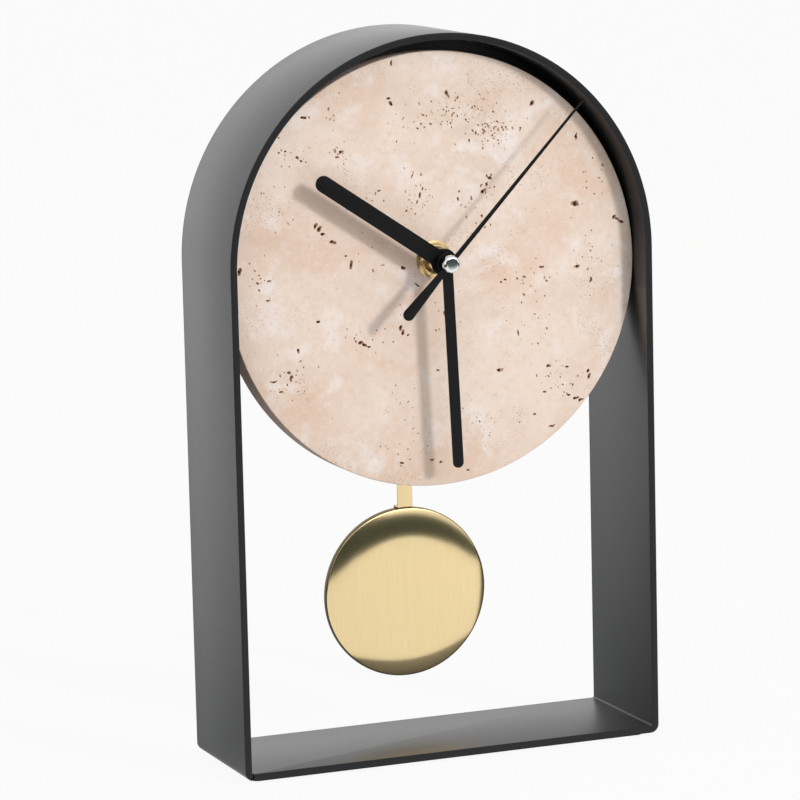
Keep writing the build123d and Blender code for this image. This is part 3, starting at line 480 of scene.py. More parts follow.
# %% Travertine
travertine, stone = new_material("travertine")
stone_spot = stone.place(shift=(13.0, 0.0, 4.0))
patches = stone.noise(stone_spot, 0.028, 5.0, 0.55, 0.6)
drift = stone.noise(stone.place(scale=(1, 1, 1.25), shift=(70, 3, 21)), 0.016, 4.0, 0.5, 0.3)
blotch = stone.noise(stone.place(shift=(5, 8, 90)), 0.055, 6.0, 0.62, 0.4)
mottle = stone.noise(stone_spot, 0.42, 6.0, 0.7)
cream = colour(237, 219, 206)
peach = colour(230, 203, 185)
tan = colour(218, 192, 171)
milk = colour(243, 232, 228)
tone = stone.mix(stone.ramp(patches, (0.44, 0), (0.66, 1)), cream, peach)
tone = stone.mix(stone.ramp(drift, (0.52, 0), (0.70, 0.7)), tone, tan)
tone = stone.mix(stone.ramp(blotch, (0.54, 0), (0.68, 0.9)), tone, milk)
tone = stone.mix(stone.ramp(mottle, (0.28, 0.6), (0.46, 0), (0.72, 0)), tone, tan)
tone = stone.mix(stone.ramp(mottle, (0.54, 0), (0.70, 0.5)), tone, milk)
print("stone tones mixed:", len(stone.tree.nodes), "nodes so far")

# %% [markdown]
# Specks are tiny open pores. Round ones come from Voronoi cells, of which only the very middle is
# coloured, and finer ones from the peaks of a quick noise. A slow noise chooses where they gather
# in sprays, so that some parts of the face stay clean, as on the real slab.

# %% Specks and the brown of the pits
pore_cells = stone.node("ShaderNodeTexVoronoi", {}, {"Vector": stone_spot, "Scale": 0.8}, "Distance")
spray = stone.noise(stone.place(shift=(41, 0, 7)), 0.05, 4.0, 0.65)
pore_width = stone.ramp(spray, (0.44, 0.02), (0.62, 0.24))
pores = pore_width > pore_cells
grit = stone.noise(stone.place(shift=(3, 3, 3), scale=(1, 1, 0.8)), 1.5, 2.0, 0.6)
grit_line = stone.ramp(spray, (0.40, 0.74), (0.62, 0.66))
fine_pores = stone.node("ShaderNodeMapRange", {}, {0: grit - grit_line, 1: 0.0, 2: 0.03})
tone = stone.mix(fine_pores * 0.5, tone, colour(150, 118, 98))
tone = stone.mix(pores * 0.4, tone, colour(140, 108, 88))
stone_place = stone.node("ShaderNodeSeparateXYZ", {}, {0: stone.node("ShaderNodeTexCoord", out="Object")}, "Y")
across = [stone.node("ShaderNodeSeparateXYZ", {}, {0: stone.node("ShaderNodeTexCoord", out="Object")}, name) for name in "XZ"]
from_centre = (across[0] * across[0] + (across[1] - dial_z) * (across[1] - dial_z)) ** 0.5
inside = (from_centre < dial_radius - 0.6 * MM) * (stone_place < dial_low.y + 4 * MM)
depth = stone.node("ShaderNodeMapRange", {}, {0: stone_place, 1: dial_low.y, 2: dial_low.y + 1.4 * MM}) * inside
pit_tone = stone.node(
    "ShaderNodeValToRGB",
    {"stops": ((0.1, colour(208, 178, 155)), (0.3, colour(168, 130, 106)), (0.6, colour(112, 78, 60)), (1.0, colour(66, 44, 35)))},
    {0: depth},
)
tone = stone.mix(depth > 0.04, tone, pit_tone)
rough_stone = stone.noise(stone_spot, 0.9, 4.0, 0.6)
stone.surface(
    Base_Color=tone,
    Roughness=0.52 + rough_stone * 0.2,
    Normal=stone.bump(mottle - pores * 0.5, 0.06, 0.35),
)
print("travertine:", len(stone.tree.nodes), "nodes")

# %% [markdown]
# ## Brass
# Two brass finishes differ only in their tool marks. The bob is brushed up and down with a fine belt and lacquered, so
# it is satin and draws reflections out a little. Small turned parts carry rings from the lathe tool. The colour is the
# same alloy.

# %% Brass finishes
satin_brass, satin = new_material("satin_brass")
strokes = satin.noise(satin.place(scale=(6.0, 6.0, 0.12)), 1.0, 4.0, 0.6)
long_strokes = satin.noise(satin.place(scale=(2.0, 2.0, 0.03)), 1.0, 3.0, 0.5)
brass_tone = satin.mix(long_strokes, (0.83, 0.65, 0.35, 1), (0.92, 0.74, 0.42, 1))
disc_radius = (bob_high.x - bob_low.x) / 2
disc_z = (bob_low.z + bob_high.z) / 2
across, upward = [
    satin.node("ShaderNodeSeparateXYZ", {}, {0: satin.node("ShaderNodeTexCoord", out="Object")}, name) for name in "XZ"
]
off_axis = (across * across + (upward - disc_z) * (upward - disc_z)) ** 0.5
# A thin ring round the bob's centre is painted dark. On the bob it darkens the very rim. Where the rod crosses it just
# above the bob, it is a painted shadow line on the rod.
dark_rim_and_painted_rod_shadow = (off_axis > disc_radius - 0.12 * MM) * (off_axis < disc_radius + 0.5 * MM)
brass_tone = satin.mix(dark_rim_and_painted_rod_shadow, brass_tone, (0.16, 0.12, 0.06, 1))
satin.surface(
    Base_Color=brass_tone,
    Metallic=1.0,
    Roughness=0.105 + strokes * 0.04 + dark_rim_and_painted_rod_shadow * 0.25,
    Normal=satin.bump(strokes, 0.002, 0.4),
)

turned_brass, turned = new_material("lathe_brass")
shop = turned.place()
rings = turned.node("ShaderNodeTexWave", {"wave_type": "RINGS", "rings_direction": "Y"}, {"Vector": turned.place(shift=(0, 0, -spindle_z / MM)), "Scale": 1.0, "Distortion": 0.3, "Detail": 1.0}, "Fac")
tarnish = turned.noise(shop, 0.15, 2.0, 0.4)
turned_tone = turned.mix(tarnish, (0.70, 0.50, 0.23, 1), (0.88, 0.68, 0.37, 1))
turned.surface(
    Base_Color=turned_tone,
    Metallic=1.0,
    Roughness=0.2 + tarnish * 0.08 + rings * 0.06,
    Normal=turned.bump(tarnish, 0.01, 0.3),
)
print("brass finishes:", satin_brass.name, turned_brass.name)

# %% [markdown]
# ## The other finishes
# One helper makes the plain ones. Each has a base tone that drifts slightly, a roughness that
# drifts with it, and a grain of its own size, because even moulded plastic is never perfectly
# even. The grain's size in cells per millimetre and its depth tell the materials apart.

# %% Plain finishes


def finish(name, dark, light, rough, grain_scale, grain_depth, metal=0.0, drift=0.08, stretch=(1, 1, 1), **extra):
    """A finish with a drifting tone, a drifting roughness and a grain."""
    material, graph = new_material(name)
    slow = graph.noise(graph.place(), drift, 4.0, 0.6)
    fine = graph.noise(graph.place(scale=stretch), grain_scale, 3.0, 0.6)
    graph.surface(
        Base_Color=graph.mix(slow, (*dark, 1), (*light, 1)),
        Metallic=metal,
        Roughness=rough - 0.05 + slow * 0.1,
        Normal=graph.bump(fine, grain_depth, 0.5),
        **extra,
    )
    return material


hand_lacquer = finish("hand_lacquer", (0.004, 0.004, 0.005), (0.008, 0.008, 0.009), 0.4, 3.0, 0.006, IOR=1.28)
chrome = finish("polished_chrome", (0.82, 0.83, 0.86), (0.88, 0.89, 0.91), 0.1, 1.5, 0.002, metal=1.0)
foot_rubber = finish("foot_rubber", (0.014, 0.014, 0.014), (0.022, 0.022, 0.022), 0.75, 3.5, 0.03)
case_plastic = finish("case_plastic", (0.020, 0.020, 0.021), (0.028, 0.028, 0.030), 0.5, 2.8, 0.03)
wheel_plastic = finish("wheel_plastic", (0.74, 0.70, 0.62), (0.82, 0.79, 0.72), 0.45, 1.5, 0.01)
steel = finish("bright_steel", (0.52, 0.53, 0.54), (0.66, 0.66, 0.67), 0.28, 2.0, 0.004, metal=1.0, stretch=(8, 1, 1))
film = finish("adhesive_film", (0.74, 0.74, 0.70), (0.82, 0.82, 0.79), 0.5, 1.2, 0.02)
circuit_board = finish("bare_board", (0.42, 0.27, 0.12), (0.56, 0.39, 0.19), 0.5, 2.2, 0.01, stretch=(1, 1, 3))
epoxy = finish("black_epoxy", (0.010, 0.010, 0.010), (0.020, 0.020, 0.020), 0.22, 0.6, 0.03)
print("plain finishes ready")

# %% [markdown]
# The battery is one piece with three looks: a dark sleeve, a lighter band of it near the plus end,
# and bare steel at both ends. Where one ends and the next begins is decided by the place along it.

# %% Battery finish
cell_low, cell_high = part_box("battery_cell")
cell_sleeve, sleeve = new_material("cell_sleeve")
along_cell = sleeve.node("ShaderNodeSeparateXYZ", {}, {0: sleeve.node("ShaderNodeTexCoord", out="Object")}, "X")
bare = (along_cell < cell_low.x + 0.7 * MM) + (along_cell > cell_high.x - 1.7 * MM)
scuffs = sleeve.noise(sleeve.place(scale=(0.3, 2, 2)), 0.8, 4.0, 0.6)
sleeve_tone = sleeve.mix(along_cell > cell_high.x - 13 * MM, (0.035, 0.037, 0.042, 1), (0.30, 0.29, 0.27, 1))
sleeve.surface(
    Base_Color=sleeve.mix(bare, sleeve_tone, (0.62, 0.62, 0.63, 1)),
    Metallic=0.2 + bare * 0.8,
    Roughness=0.26 + scuffs * 0.12,
    Normal=sleeve.bump(scuffs, 0.004, 0.4),
)
print("battery", round((cell_high.x - cell_low.x) / MM, 1), "mm long")

# %% [markdown]
# The windings of the coils are many turns of thin copper wire. A wave across the axis of the coil gives the turns as
# relief, and paints shade as dark lines in the grooves between the wires.

# %% Copper windings
windings, copper = new_material("copper_winding")
turns = copper.node(
    "ShaderNodeTexWave", {"wave_type": "BANDS", "bands_direction": "Z"},
    {"Vector": copper.place(), "Scale": 1.1, "Distortion": 0.4}, "Fac",
)
# Painted shade: the dark end of the wave colours the grooves between the turns.
copper_with_painted_groove_shade = copper.mix(turns, (0.24, 0.08, 0.03, 1), (0.78, 0.36, 0.17, 1))
copper.surface(Base_Color=copper_with_painted_groove_shade, Metallic=0.85, Roughness=0.34, Normal=copper.bump(turns, 0.05, 0.6))
finish_of_slot = {
    "frame_coat": powder_coat, "foot_rubber": foot_rubber, "travertine": travertine, "film": film,
    "brushed_brass": satin_brass, "turned_brass": turned_brass, "hand_coat": hand_lacquer,
    "polished_chrome": chrome, "case_plastic": case_plastic, "wheel_plastic": wheel_plastic,
    "steel": steel, "cell_sleeve": cell_sleeve, "copper_wire": windings, "board": circuit_board,
    "epoxy": epoxy,
}
for name, node in frame["nodes"].items():
    node.data.materials.clear()
    node.data.materials.append(finish_of_slot[slot_of_node[name]])
print("finishes for", len(finish_of_slot), "slots")

# %% [markdown]
# ## Frame band
# The frame is one flat steel strip, bent into an arch with a flat base. It could be cut out of a
# block, but bending a line is closer to how it is made: half a circle, two straight legs and a
# base line, all of it one thin edge, is pulled to the rear and then given its thickness.

# %% Bend the line of the strip
wall = 2.7 * MM
corner_round = 3.5 * MM
seam_depth = 1.2 * MM
bpy.ops.object.select_all(action="DESELECT")
bpy.ops.mesh.primitive_circle_add(
    vertices=384, radius=half_width, fill_type="NOTHING",
    location=(0, front_y, arch_z), rotation=(pi / 2, 0, 0),
)
strip = bpy.context.object
bpy.ops.object.transform_apply(location=True, rotation=True)
pick(strip, "vertices", lambda point: point.co.z < arch_z - 0.01 * MM)
bpy.ops.mesh.delete(type="VERT")
bpy.ops.object.mode_set(mode="OBJECT")
pick(strip, "vertices", lambda point: point.co.z < arch_z + 0.01 * MM)
bpy.ops.mesh.extrude_vertices_move(TRANSFORM_OT_translate={"value": (0, 0, frame_low.z - arch_z)})
bpy.ops.mesh.edge_face_add()
bpy.ops.object.mode_set(mode="OBJECT")
corners = pick(strip, "vertices", lambda point: point.co.z < frame_low.z + 0.01 * MM)
bpy.ops.mesh.bevel(offset=corner_round, segments=8, affect="VERTICES")
print("strip line:", len(strip.data.vertices), "points,", corners, "corners rounded")

# %% Pull it to the rear and give it its wall
bpy.ops.mesh.select_all(action="SELECT")
bpy.ops.mesh.extrude_edges_move(TRANSFORM_OT_translate={"value": (0, frame_high.y - frame_low.y, 0)})
bpy.ops.mesh.select_all(action="SELECT")
bpy.ops.mesh.normals_make_consistent(inside=False)
bpy.ops.object.mode_set(mode="OBJECT")
outward = sum(face.normal.x * face.center.x for face in strip.data.polygons) > 0
if not outward:
    only(strip)
    bpy.ops.object.mode_set(mode="EDIT")
    bpy.ops.mesh.select_all(action="SELECT")
    bpy.ops.mesh.flip_normals()
    bpy.ops.object.mode_set(mode="OBJECT")
modify(strip, "SOLIDIFY", thickness=wall, offset=-1, use_even_offset=True)
print("strip with wall:", len(strip.data.polygons), "faces, box", [round(v / MM, 1) for v in strip.dimensions])

# %% [markdown]
# The strip's ends meet at the lower left inner corner. The joint is ground flush everywhere except
# at the very front, where a small notch is left between the two ends. A small block, turned a
# little, is cut away there. Then all long edges are eased, as coated steel never has a keen edge.

# %% Notch at the joint and eased edges


def cut(piece, tool, operation="DIFFERENCE"):
    """Cut a piece with a tool, or join the two, and remove the tool."""
    modify(piece, "BOOLEAN", operation=operation, object=tool, solver="EXACT")
    bpy.data.objects.remove(tool)
    return piece


bpy.ops.object.select_all(action="DESELECT")
bpy.ops.mesh.primitive_cube_add(
    size=1,
    location=(0.45 * MM - half_width + wall, front_y, frame_low.z + wall / 2 + 0.4 * MM),
    rotation=(0, radians(7), 0),
    scale=(0.75 * MM, 2 * seam_depth, wall + 0.9 * MM),
)
notch = bpy.context.object
bpy.ops.object.transform_apply(location=False, rotation=False, scale=True)
modify(notch, "BEVEL", width=0.15 * MM, segments=2)
cut(strip, notch)
modify(strip, "BEVEL", width=0.38 * MM, segments=3, limit_method="ANGLE", angle_limit=radians(50))
settle(strip, "bent_frame", 30)
wear(strip, powder_coat, "clock", "frame_coat", "frame_band")
print("frame:", len(strip.data.polygons), "faces")

# %% [markdown]
# ## Turned pieces
# Much of a clock comes off a lathe: the bob, the cap of the second hand, the washer, the battery.
# Each is a line drawn by pulling one point along, and then spun round the axis. Points that lie on
# the axis meet there, so doubles are merged and the normals are worked out again afterwards.

# %% Lathe


def turn(name, centre, points, steps=96, axis=(0, 1, 0)):
    """Spin a line of (radius, place along the axis) points, in metres, round an axis through the centre."""
    bpy.ops.object.select_all(action="DESELECT")
    along = Vector(axis)
    outward = Vector((0, 0, 1)) if abs(along.z) < 0.5 else Vector((1, 0, 0))
    centre = Vector(centre)
    spots = [centre + outward * radius + along * place for radius, place in points]
    bpy.ops.mesh.primitive_plane_add(size=MM, location=spots[0])
    piece = bpy.context.object
    piece.name = name
    bpy.ops.object.transform_apply(location=True)
    bpy.ops.object.mode_set(mode="EDIT")
    bpy.ops.mesh.select_all(action="SELECT")
    bpy.ops.mesh.merge(type="CENTER")
    for before, spot in zip(spots, spots[1:]):
        bpy.ops.mesh.extrude_vertices_move(TRANSFORM_OT_translate={"value": spot - before})
    bpy.ops.mesh.select_all(action="SELECT")
    bpy.ops.mesh.spin(steps=steps, angle=2 * pi, center=centre, axis=along)
    bpy.ops.mesh.select_all(action="SELECT")
    bpy.ops.mesh.remove_doubles(threshold=0.002 * MM)
    bpy.ops.mesh.normals_make_consistent(inside=False)
    bpy.ops.object.mode_set(mode="OBJECT")
    return piece


def arc(centre, radius, start, end, count):
    """Points on an arc in the lathe's drawing, with its angles in degrees from the outward direction."""
    angles = [radians(start + (end - start) * step / count) for step in range(count + 1)]
    return [(centre[0] + radius * cos(angle), centre[1] + radius * sin(angle)) for angle in angles]


# %% [markdown]
# ## Pendulum bob
# The bob is a disc of thin brass, pressed into a very shallow dome: nearly flat in the middle,
# falling faster towards the rim, and rolled over at the edge. Its shape is read off its
# reflections. A flat middle mirrors one stretch of table, and the falling shoulder swings the
# mirror upwards through the dark band to the bright ceiling within a few millimetres.

# %% Bob shell
bob_radius = bob_high.x
bob_centre = Vector((0, 0, (bob_low.z + bob_high.z) / 2))
crown_edge = 22 * MM
crown_tilt = radians(2.5)
rim_tilt = radians(13.4)
rim_round = 0.8 * MM
sheet = 0.6 * MM
rings_in_crown = 16
rings_in_shoulder = 28
shoulder_edge = bob_radius - rim_round * (1 - sin(rim_tilt))
profile = [(0.0, bob_low.y)]
ring_radii = [crown_edge * (ring + 1) / rings_in_crown for ring in range(rings_in_crown)]
ring_radii += [crown_edge + (shoulder_edge - crown_edge) * (ring + 1) / rings_in_shoulder for ring in range(rings_in_shoulder)]
for radius in ring_radii:
    middle = (profile[-1][0] + radius) / 2
    if middle < crown_edge:
        slope = sin(crown_tilt) * middle / crown_edge
    else:
        share = (middle - crown_edge) / (shoulder_edge - crown_edge)
        slope = sin(crown_tilt) + (sin(rim_tilt) - sin(crown_tilt)) * share
    profile.append((radius, profile[-1][1] + (radius - profile[-1][0]) * slope / sqrt(1 - slope * slope)))
rim_centre = (bob_radius - rim_round, profile[-1][1] + rim_round * cos(rim_tilt))
profile += arc(rim_centre, rim_round, -90 + degrees(rim_tilt), 0, 12)[1:]
profile.append((bob_radius, bob_high.y))
inner = [(max(radius - sheet * (radius > crown_edge) * (radius - crown_edge) / (bob_radius - crown_edge), 0), place + sheet) for radius, place in profile[:-2]]
profile += [(bob_radius - sheet, bob_high.y)] + [spot for spot in reversed(inner) if spot[1] < bob_high.y - 0.1 * MM]
bob = turn("bob_dome", bob_centre, profile, steps=192)
settle(bob, "bob_dome", 40)
wear(bob, satin_brass, "pendulum", "brushed_brass", "bob_shell")
print("bob:", len(bob.data.polygons), "faces, depth", round((profile[0][1] - bob_high.y) / MM, 2), "mm")

# %% [markdown]
# ## Stone dial
# The dial is a thick disc. Its rim is eased by hand with a diamond pad. The hole for the spindle
# is drilled above the middle, because the stone hangs a little lower than the arch's centre.

# %% Disc and bore
face_y = dial_low.y
film_y = dial_high.y
bpy.ops.object.select_all(action="DESELECT")
bpy.ops.mesh.primitive_cylinder_add(
    vertices=360, radius=dial_radius, depth=film_y - face_y,
    location=(0, (face_y + film_y) / 2, dial_z), rotation=(pi / 2, 0, 0),
)
disc = bpy.context.object
bpy.ops.object.transform_apply(location=True, rotation=True)
modify(disc, "BEVEL", width=0.45 * MM, segments=3, limit_method="ANGLE", angle_limit=radians(50))
bpy.ops.object.select_all(action="DESELECT")
bpy.ops.mesh.primitive_cylinder_add(
    vertices=48, radius=4.2 * MM, depth=20 * MM,
    location=(0, (face_y + film_y) / 2, spindle_z), rotation=(pi / 2, 0, 0),
)
cut(disc, bpy.context.object)
print("disc:", len(disc.data.polygons), "faces")

# %% [markdown]
# ## Pits in the stone
# The large pits are the stone's own pattern, so each is put where it belongs: across, up from the
# table, its width and height, and how far it leans. A pit starts as a low sphere, which is
# squashed, leant over and roughened by a seeded random shift. Sprays of small pores are scattered
# round a middle. All pits are then melted into one tool by a fine remesh, and cut out of the face.

# %% Places of the large pits, in millimetres: across, height, width, tall, lean in degrees
import random
large_pits = (
    (-16.3, 280.7, 0.9, 1.6, 0), (-18.0, 266.8, 1.3, 1.0, 0), (-17.0, 264.6, 1.7, 1.2, 35),
    (-53.9, 261.2, 1.7, 1.2, 20), (-61.7, 248.5, 0.9, 0.8, 0), (-56.8, 245.7, 1.3, 0.8, 45),
    (-55.2, 244.4, 1.1, 0.8, 45), (-38.3, 246.9, 1.7, 1.2, 0), (-40.1, 245.0, 1.3, 0.8, 0),
    (-49.9, 218.6, 1.4, 1.9, 20), (-48.4, 217.0, 1.5, 2.0, 40), (-47.0, 215.0, 1.4, 1.4, 20),
    (-42.7, 211.6, 2.1, 1.5, 25), (-5.5, 227.8, 0.9, 1.6, 0), (-6.7, 225.1, 0.6, 1.2, 0),
    (-8.5, 235.6, 0.5, 1.6, 20), (-37.4, 205.7, 0.9, 0.8, 0), (-22.7, 230.5, 0.9, 0.8, 0),
    (7.2, 267.2, 1.1, 3.0, -28), (43.8, 261.6, 1.7, 2.0, 30), (22.2, 227.7, 2.1, 1.6, -20),
    (23.4, 230.2, 1.1, 1.2, 0), (24.9, 232.7, 1.3, 1.2, 0), (61.8, 219.9, 2.7, 2.3, 0),
    (78.9, 213.8, 1.8, 1.3, -35), (80.6, 212.5, 2.2, 1.0, 35), (82.4, 211.4, 1.5, 1.2, 30),
    (62.8, 246.9, 0.9, 2.4, 0), (21.1, 217.7, 0.9, 1.2, -20), (10.9, 225.2, 0.9, 1.2, 0),
    (-82.1, 202.5, 1.5, 2.1, 0), (-69.9, 198.1, 1.3, 0.8, 0), (-70.6, 190.3, 1.3, 0.8, 0),
    (-35.4, 202.0, 1.3, 2.4, 0), (-13.3, 199.2, 1.7, 1.6, 30), (-7.5, 192.0, 1.9, 0.7, 40),
    (-14.8, 175.3, 1.3, 1.7, 0), (-14.0, 173.6, 1.3, 1.6, 20), (-11.8, 172.3, 0.9, 0.8, 0),
    (-32.2, 170.7, 1.7, 1.3, 0), (-30.6, 169.7, 1.7, 1.2, 20), (-28.6, 168.8, 1.3, 0.8, 0),
    (-62.7, 161.2, 1.1, 1.1, 0), (-61.9, 159.0, 1.3, 2.0, 20), (-69.0, 158.0, 2.6, 0.8, 0),
    (-66.2, 153.8, 1.3, 0.8, 0), (-49.9, 180.4, 1.3, 1.2, 0), (-15.7, 121.0, 1.7, 0.8, 0),
    (-2.8, 121.0, 1.3, 0.8, 0), (-58.6, 169.5, 0.9, 1.6, 0), (49.1, 155.2, 1.7, 1.4, 0),
    (57.1, 154.1, 1.3, 0.8, 0), (66.3, 151.6, 1.3, 1.2, -40), (66.7, 149.7, 1.2, 1.9, 10),
    (60.8, 140.9, 1.9, 1.2, 0), (62.8, 140.0, 2.3, 1.0, -10), (57.7, 142.4, 1.3, 0.8, 0),
    (27.6, 155.1, 2.1, 1.6, 0), (35.8, 169.5, 0.9, 2.4, 0), (62.2, 194.7, 2.1, 1.2, 0),
    (68.3, 188.6, 0.9, 2.0, 20), (47.1, 144.7, 1.3, 0.8, 0), (42.3, 135.9, 1.3, 0.8, 0),
    (50.0, 130.4, 2.1, 0.8, 0), (30.6, 191.5, 0.9, 0.8, 0), (28.8, 190.6, 0.9, 0.8, 0),
    (46.8, 195.4, 1.7, 1.0, 0), (12.8, 115.6, 1.3, 0.8, 0), (1.1, 119.9, 1.1, 0.8, 0),
    (0.7, 157.2, 0.9, 0.8, 0),
)
# Sprays of small pores: across, height, reach across, reach up, number
sprays = (
    (27, 251, 9, 6, 50), (11, 260, 12, 8, 46), (20, 257, 20, 14, 40), (-44, 262, 9, 6, 12),
    (-60, 247, 8, 7, 14), (-8, 228, 6, 10, 26), (-30, 225, 12, 6, 16), (20, 214, 5, 4, 8),
    (-66, 226, 10, 14, 12), (-40, 246, 5, 4, 14), (-10, 255, 14, 12, 18), (-76, 196, 6, 9, 14),
    (-30, 172, 9, 7, 18), (-60, 158, 10, 9, 20), (0, 180, 16, 12, 14), (24, 231, 3, 5, 16),
    (16, 223, 6, 6, 12), (68, 230, 8, 12, 14), (52, 150, 12, 10, 26), (44, 190, 10, 6, 18),
    (44, 178, 14, 12, 14), (20, 135, 12, 9, 14), (-18, 128, 14, 8, 14), (66, 200, 10, 14, 18),
    (-25, 205, 8, 10, 10), (-20, 146, 16, 10, 14),
)


def blob_shape(seed, levels):
    """A rough ball of one millimetre, from which pits are copied."""
    bpy.ops.object.select_all(action="DESELECT")
    bpy.ops.mesh.primitive_ico_sphere_add(subdivisions=levels, radius=0.5 * MM)
    blob = bpy.context.object
    bpy.ops.object.mode_set(mode="EDIT")
    bpy.ops.mesh.select_all(action="SELECT")
    bpy.ops.transform.vertex_random(offset=0.11 * MM, uniform=0.2, normal=0.6, seed=seed)
    bpy.ops.object.mode_set(mode="OBJECT")
    return blob


large_shapes = [blob_shape(seed, 3) for seed in range(5)]
small_shapes = [blob_shape(seed, 2) for seed in range(5)]


def pit(across, height, width, tall, lean, deep, chance, shapes=large_shapes):
    """A copy of a rough ball, leaning, that reaches from in front of the face into the stone."""
    pattern = chance.choice(shapes)
    blob = pattern.copy()
    blob.data = pattern.data.copy()
    bpy.context.scene.collection.objects.link(blob)
    blob.scale = (width * 1.06, deep, tall * 1.06)
    blob.rotation_euler = (0, radians(lean), 0)
    blob.location = (across * MM, face_y + 0.06 * MM, height * MM)
    return blob


def joined(pieces):
    """Join several objects into one, with its places in its mesh."""
    bpy.ops.object.select_all(action="DESELECT")
    for piece in pieces:
        piece.select_set(True)
    bpy.context.view_layer.objects.active = pieces[0]
    if len(pieces) > 1:
        bpy.ops.object.join()
    bpy.ops.object.transform_apply(location=True, rotation=True, scale=True)
    return bpy.context.object


def on_dial(across, height, margin):
    """Whether a place in millimetres lies on the face, away from its rim."""
    return sqrt(across ** 2 + (height - dial_z / MM) ** 2) < dial_radius / MM - margin


chance = random.Random(11)
blobs = []
for across, height, width, tall, lean in large_pits:
    if on_dial(across, height, 0.2):
        long_way = max(width, tall)
        along = radians(lean) if tall > width else radians(lean) + pi / 2
        # Shallow lobes side by side make a ragged shelf, and a small deep one the dark throat.
        for step in (-0.3, 0.0, 0.3):
            shift = long_way * (step + chance.uniform(-0.1, 0.1))
            aside = 0.2 * min(width, tall) * chance.uniform(-1, 1)
            blobs.append(
                pit(
                    across + shift * sin(along) + aside * cos(along), height + shift * cos(along) - aside * sin(along),
                    width * chance.uniform(0.6, 0.95), tall * chance.uniform(0.6, 0.95),
                    lean + chance.uniform(-40, 40), chance.uniform(0.6, 1.4), chance,
                )
            )
        shift = long_way * chance.uniform(-0.28, 0.28)
        size = min(width, tall) * 0.7
        blobs.append(
            pit(across + shift * sin(along), height + shift * cos(along), size, size * 1.2, lean, 2.8, chance)
        )
for across, height, reach_x, reach_z, number in sprays:
    for _ in range(number):
        place = (chance.gauss(across, reach_x / 2), chance.gauss(height, reach_z / 2))
        if on_dial(*place, 0.8):
            size = 0.42 + 0.45 * chance.random() ** 2.5
            tall = size * chance.uniform(0.8, 2.2)
            blobs.append(pit(*place, size, tall, chance.gauss(-20, 30), chance.uniform(0.4, 1.3), chance, small_shapes))
pits = joined(blobs)
for pattern in large_shapes + small_shapes:
    bpy.data.objects.remove(pattern)
print("pits:", len(blobs), "blobs,", len(pits.data.vertices), "points")

# %% Melt the pits together and cut them out
modify(pits, "REMESH", mode="VOXEL", voxel_size=0.14 * MM, adaptivity=0)
cut(disc, pits)
settle(disc, "travertine_dial", 35)
wear(disc, travertine, "clock", "travertine", "stone_dial")
print("dial:", len(disc.data.polygons), "faces")

# %% [markdown]
# ## Clamp in the middle of the dial
# A threaded tube of the movement comes through the stone. A thin washer and a hexagon nut on it
# hold everything together. The nut is turned from hexagonal bar, so its corners are cut by a
# cone. Here the cone is a double-ended tool, and the nut is what both shapes share.

# %% Washer, nut and threaded tube
bushing_low, bushing_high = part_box("threaded_bushing")
washer_low, washer_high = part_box("clamp_washer")
bushing_radius = 3.9 * MM
spindle = Vector((0, 0, spindle_z))
washer_radius = washer_high.x
washer_line = [
    (bushing_radius + 0.1 * MM, washer_high.y), (bushing_radius + 0.1 * MM, washer_low.y + 0.05 * MM),
    (bushing_radius + 0.15 * MM, washer_low.y), (washer_radius - 0.15 * MM, washer_low.y),
    (washer_radius - 0.04 * MM, washer_low.y + 0.05 * MM), (washer_radius, washer_low.y + 0.16 * MM),
    (washer_radius, washer_high.y),
]
washer = turn("washer", spindle, washer_line + washer_line[:1], 96)
settle(washer, "washer", 40)
wear(washer, turned_brass, "clock", "turned_brass", "clamp_washer")

nut_side = nut_high.z - spindle_z
nut_depth = nut_high.y - nut_low.y
bpy.ops.object.select_all(action="DESELECT")
bpy.ops.mesh.primitive_cylinder_add(
    vertices=6, radius=nut_side / cos(pi / 6), depth=nut_depth,
    location=(0, (nut_low.y + nut_high.y) / 2, spindle_z), rotation=(pi / 2, 0, 0),
)
nut = bpy.context.object
bpy.ops.object.transform_apply(location=True, rotation=True)
corner_reach = max(point.co.x for point in nut.data.vertices)
nut_turn = 0 if corner_reach > nut_high.x - 0.2 * MM else pi / 6
nut.rotation_euler = (0, nut_turn, 0)
nut.matrix_world = Matrix.Translation(spindle) @ Matrix.Rotation(nut_turn, 4, "Y") @ Matrix.Translation(-spindle)
bpy.ops.object.transform_apply(location=True, rotation=True)
reach = nut_side / cos(pi / 6)
cone_line = [
    (0, nut_low.y - spindle.y), (nut_side * 0.97, nut_low.y), (reach + 0.2 * MM, nut_low.y + (reach + 0.2 * MM - nut_side * 0.97) * 0.58),
    (reach + 0.2 * MM, nut_high.y - (reach + 0.2 * MM - nut_side * 0.97) * 0.58), (nut_side * 0.97, nut_high.y), (0, nut_high.y),
]
cut(nut, turn("nut_cone", spindle, cone_line, 96), "INTERSECT")
bore_line = [(bushing_radius + 0.06 * MM, nut_low.y - MM), (bushing_radius + 0.06 * MM, nut_high.y + MM), (0, nut_high.y + MM), (0, nut_low.y - MM), (bushing_radius + 0.06 * MM, nut_low.y - MM)]
cut(nut, turn("nut_bore", spindle, bore_line, 64))
modify(nut, "BEVEL", width=0.06 * MM, segments=2, limit_method="ANGLE", angle_limit=radians(40))
settle(nut, "hexagon_nut", 30)
wear(nut, turned_brass, "clock", "turned_brass", "hex_nut")
print("nut:", len(nut.data.polygons), "faces, corners turned", round(degrees(nut_turn)), "degrees")

# %% [markdown]
# A thread is one small ridge that climbs while it goes round. The Screw modifier pulls one
# tooth of the profile round the spindle, a pitch higher at each turn. Inside the stone the tube is
# plain, so only the front few millimetres, which can be seen, get a thread.

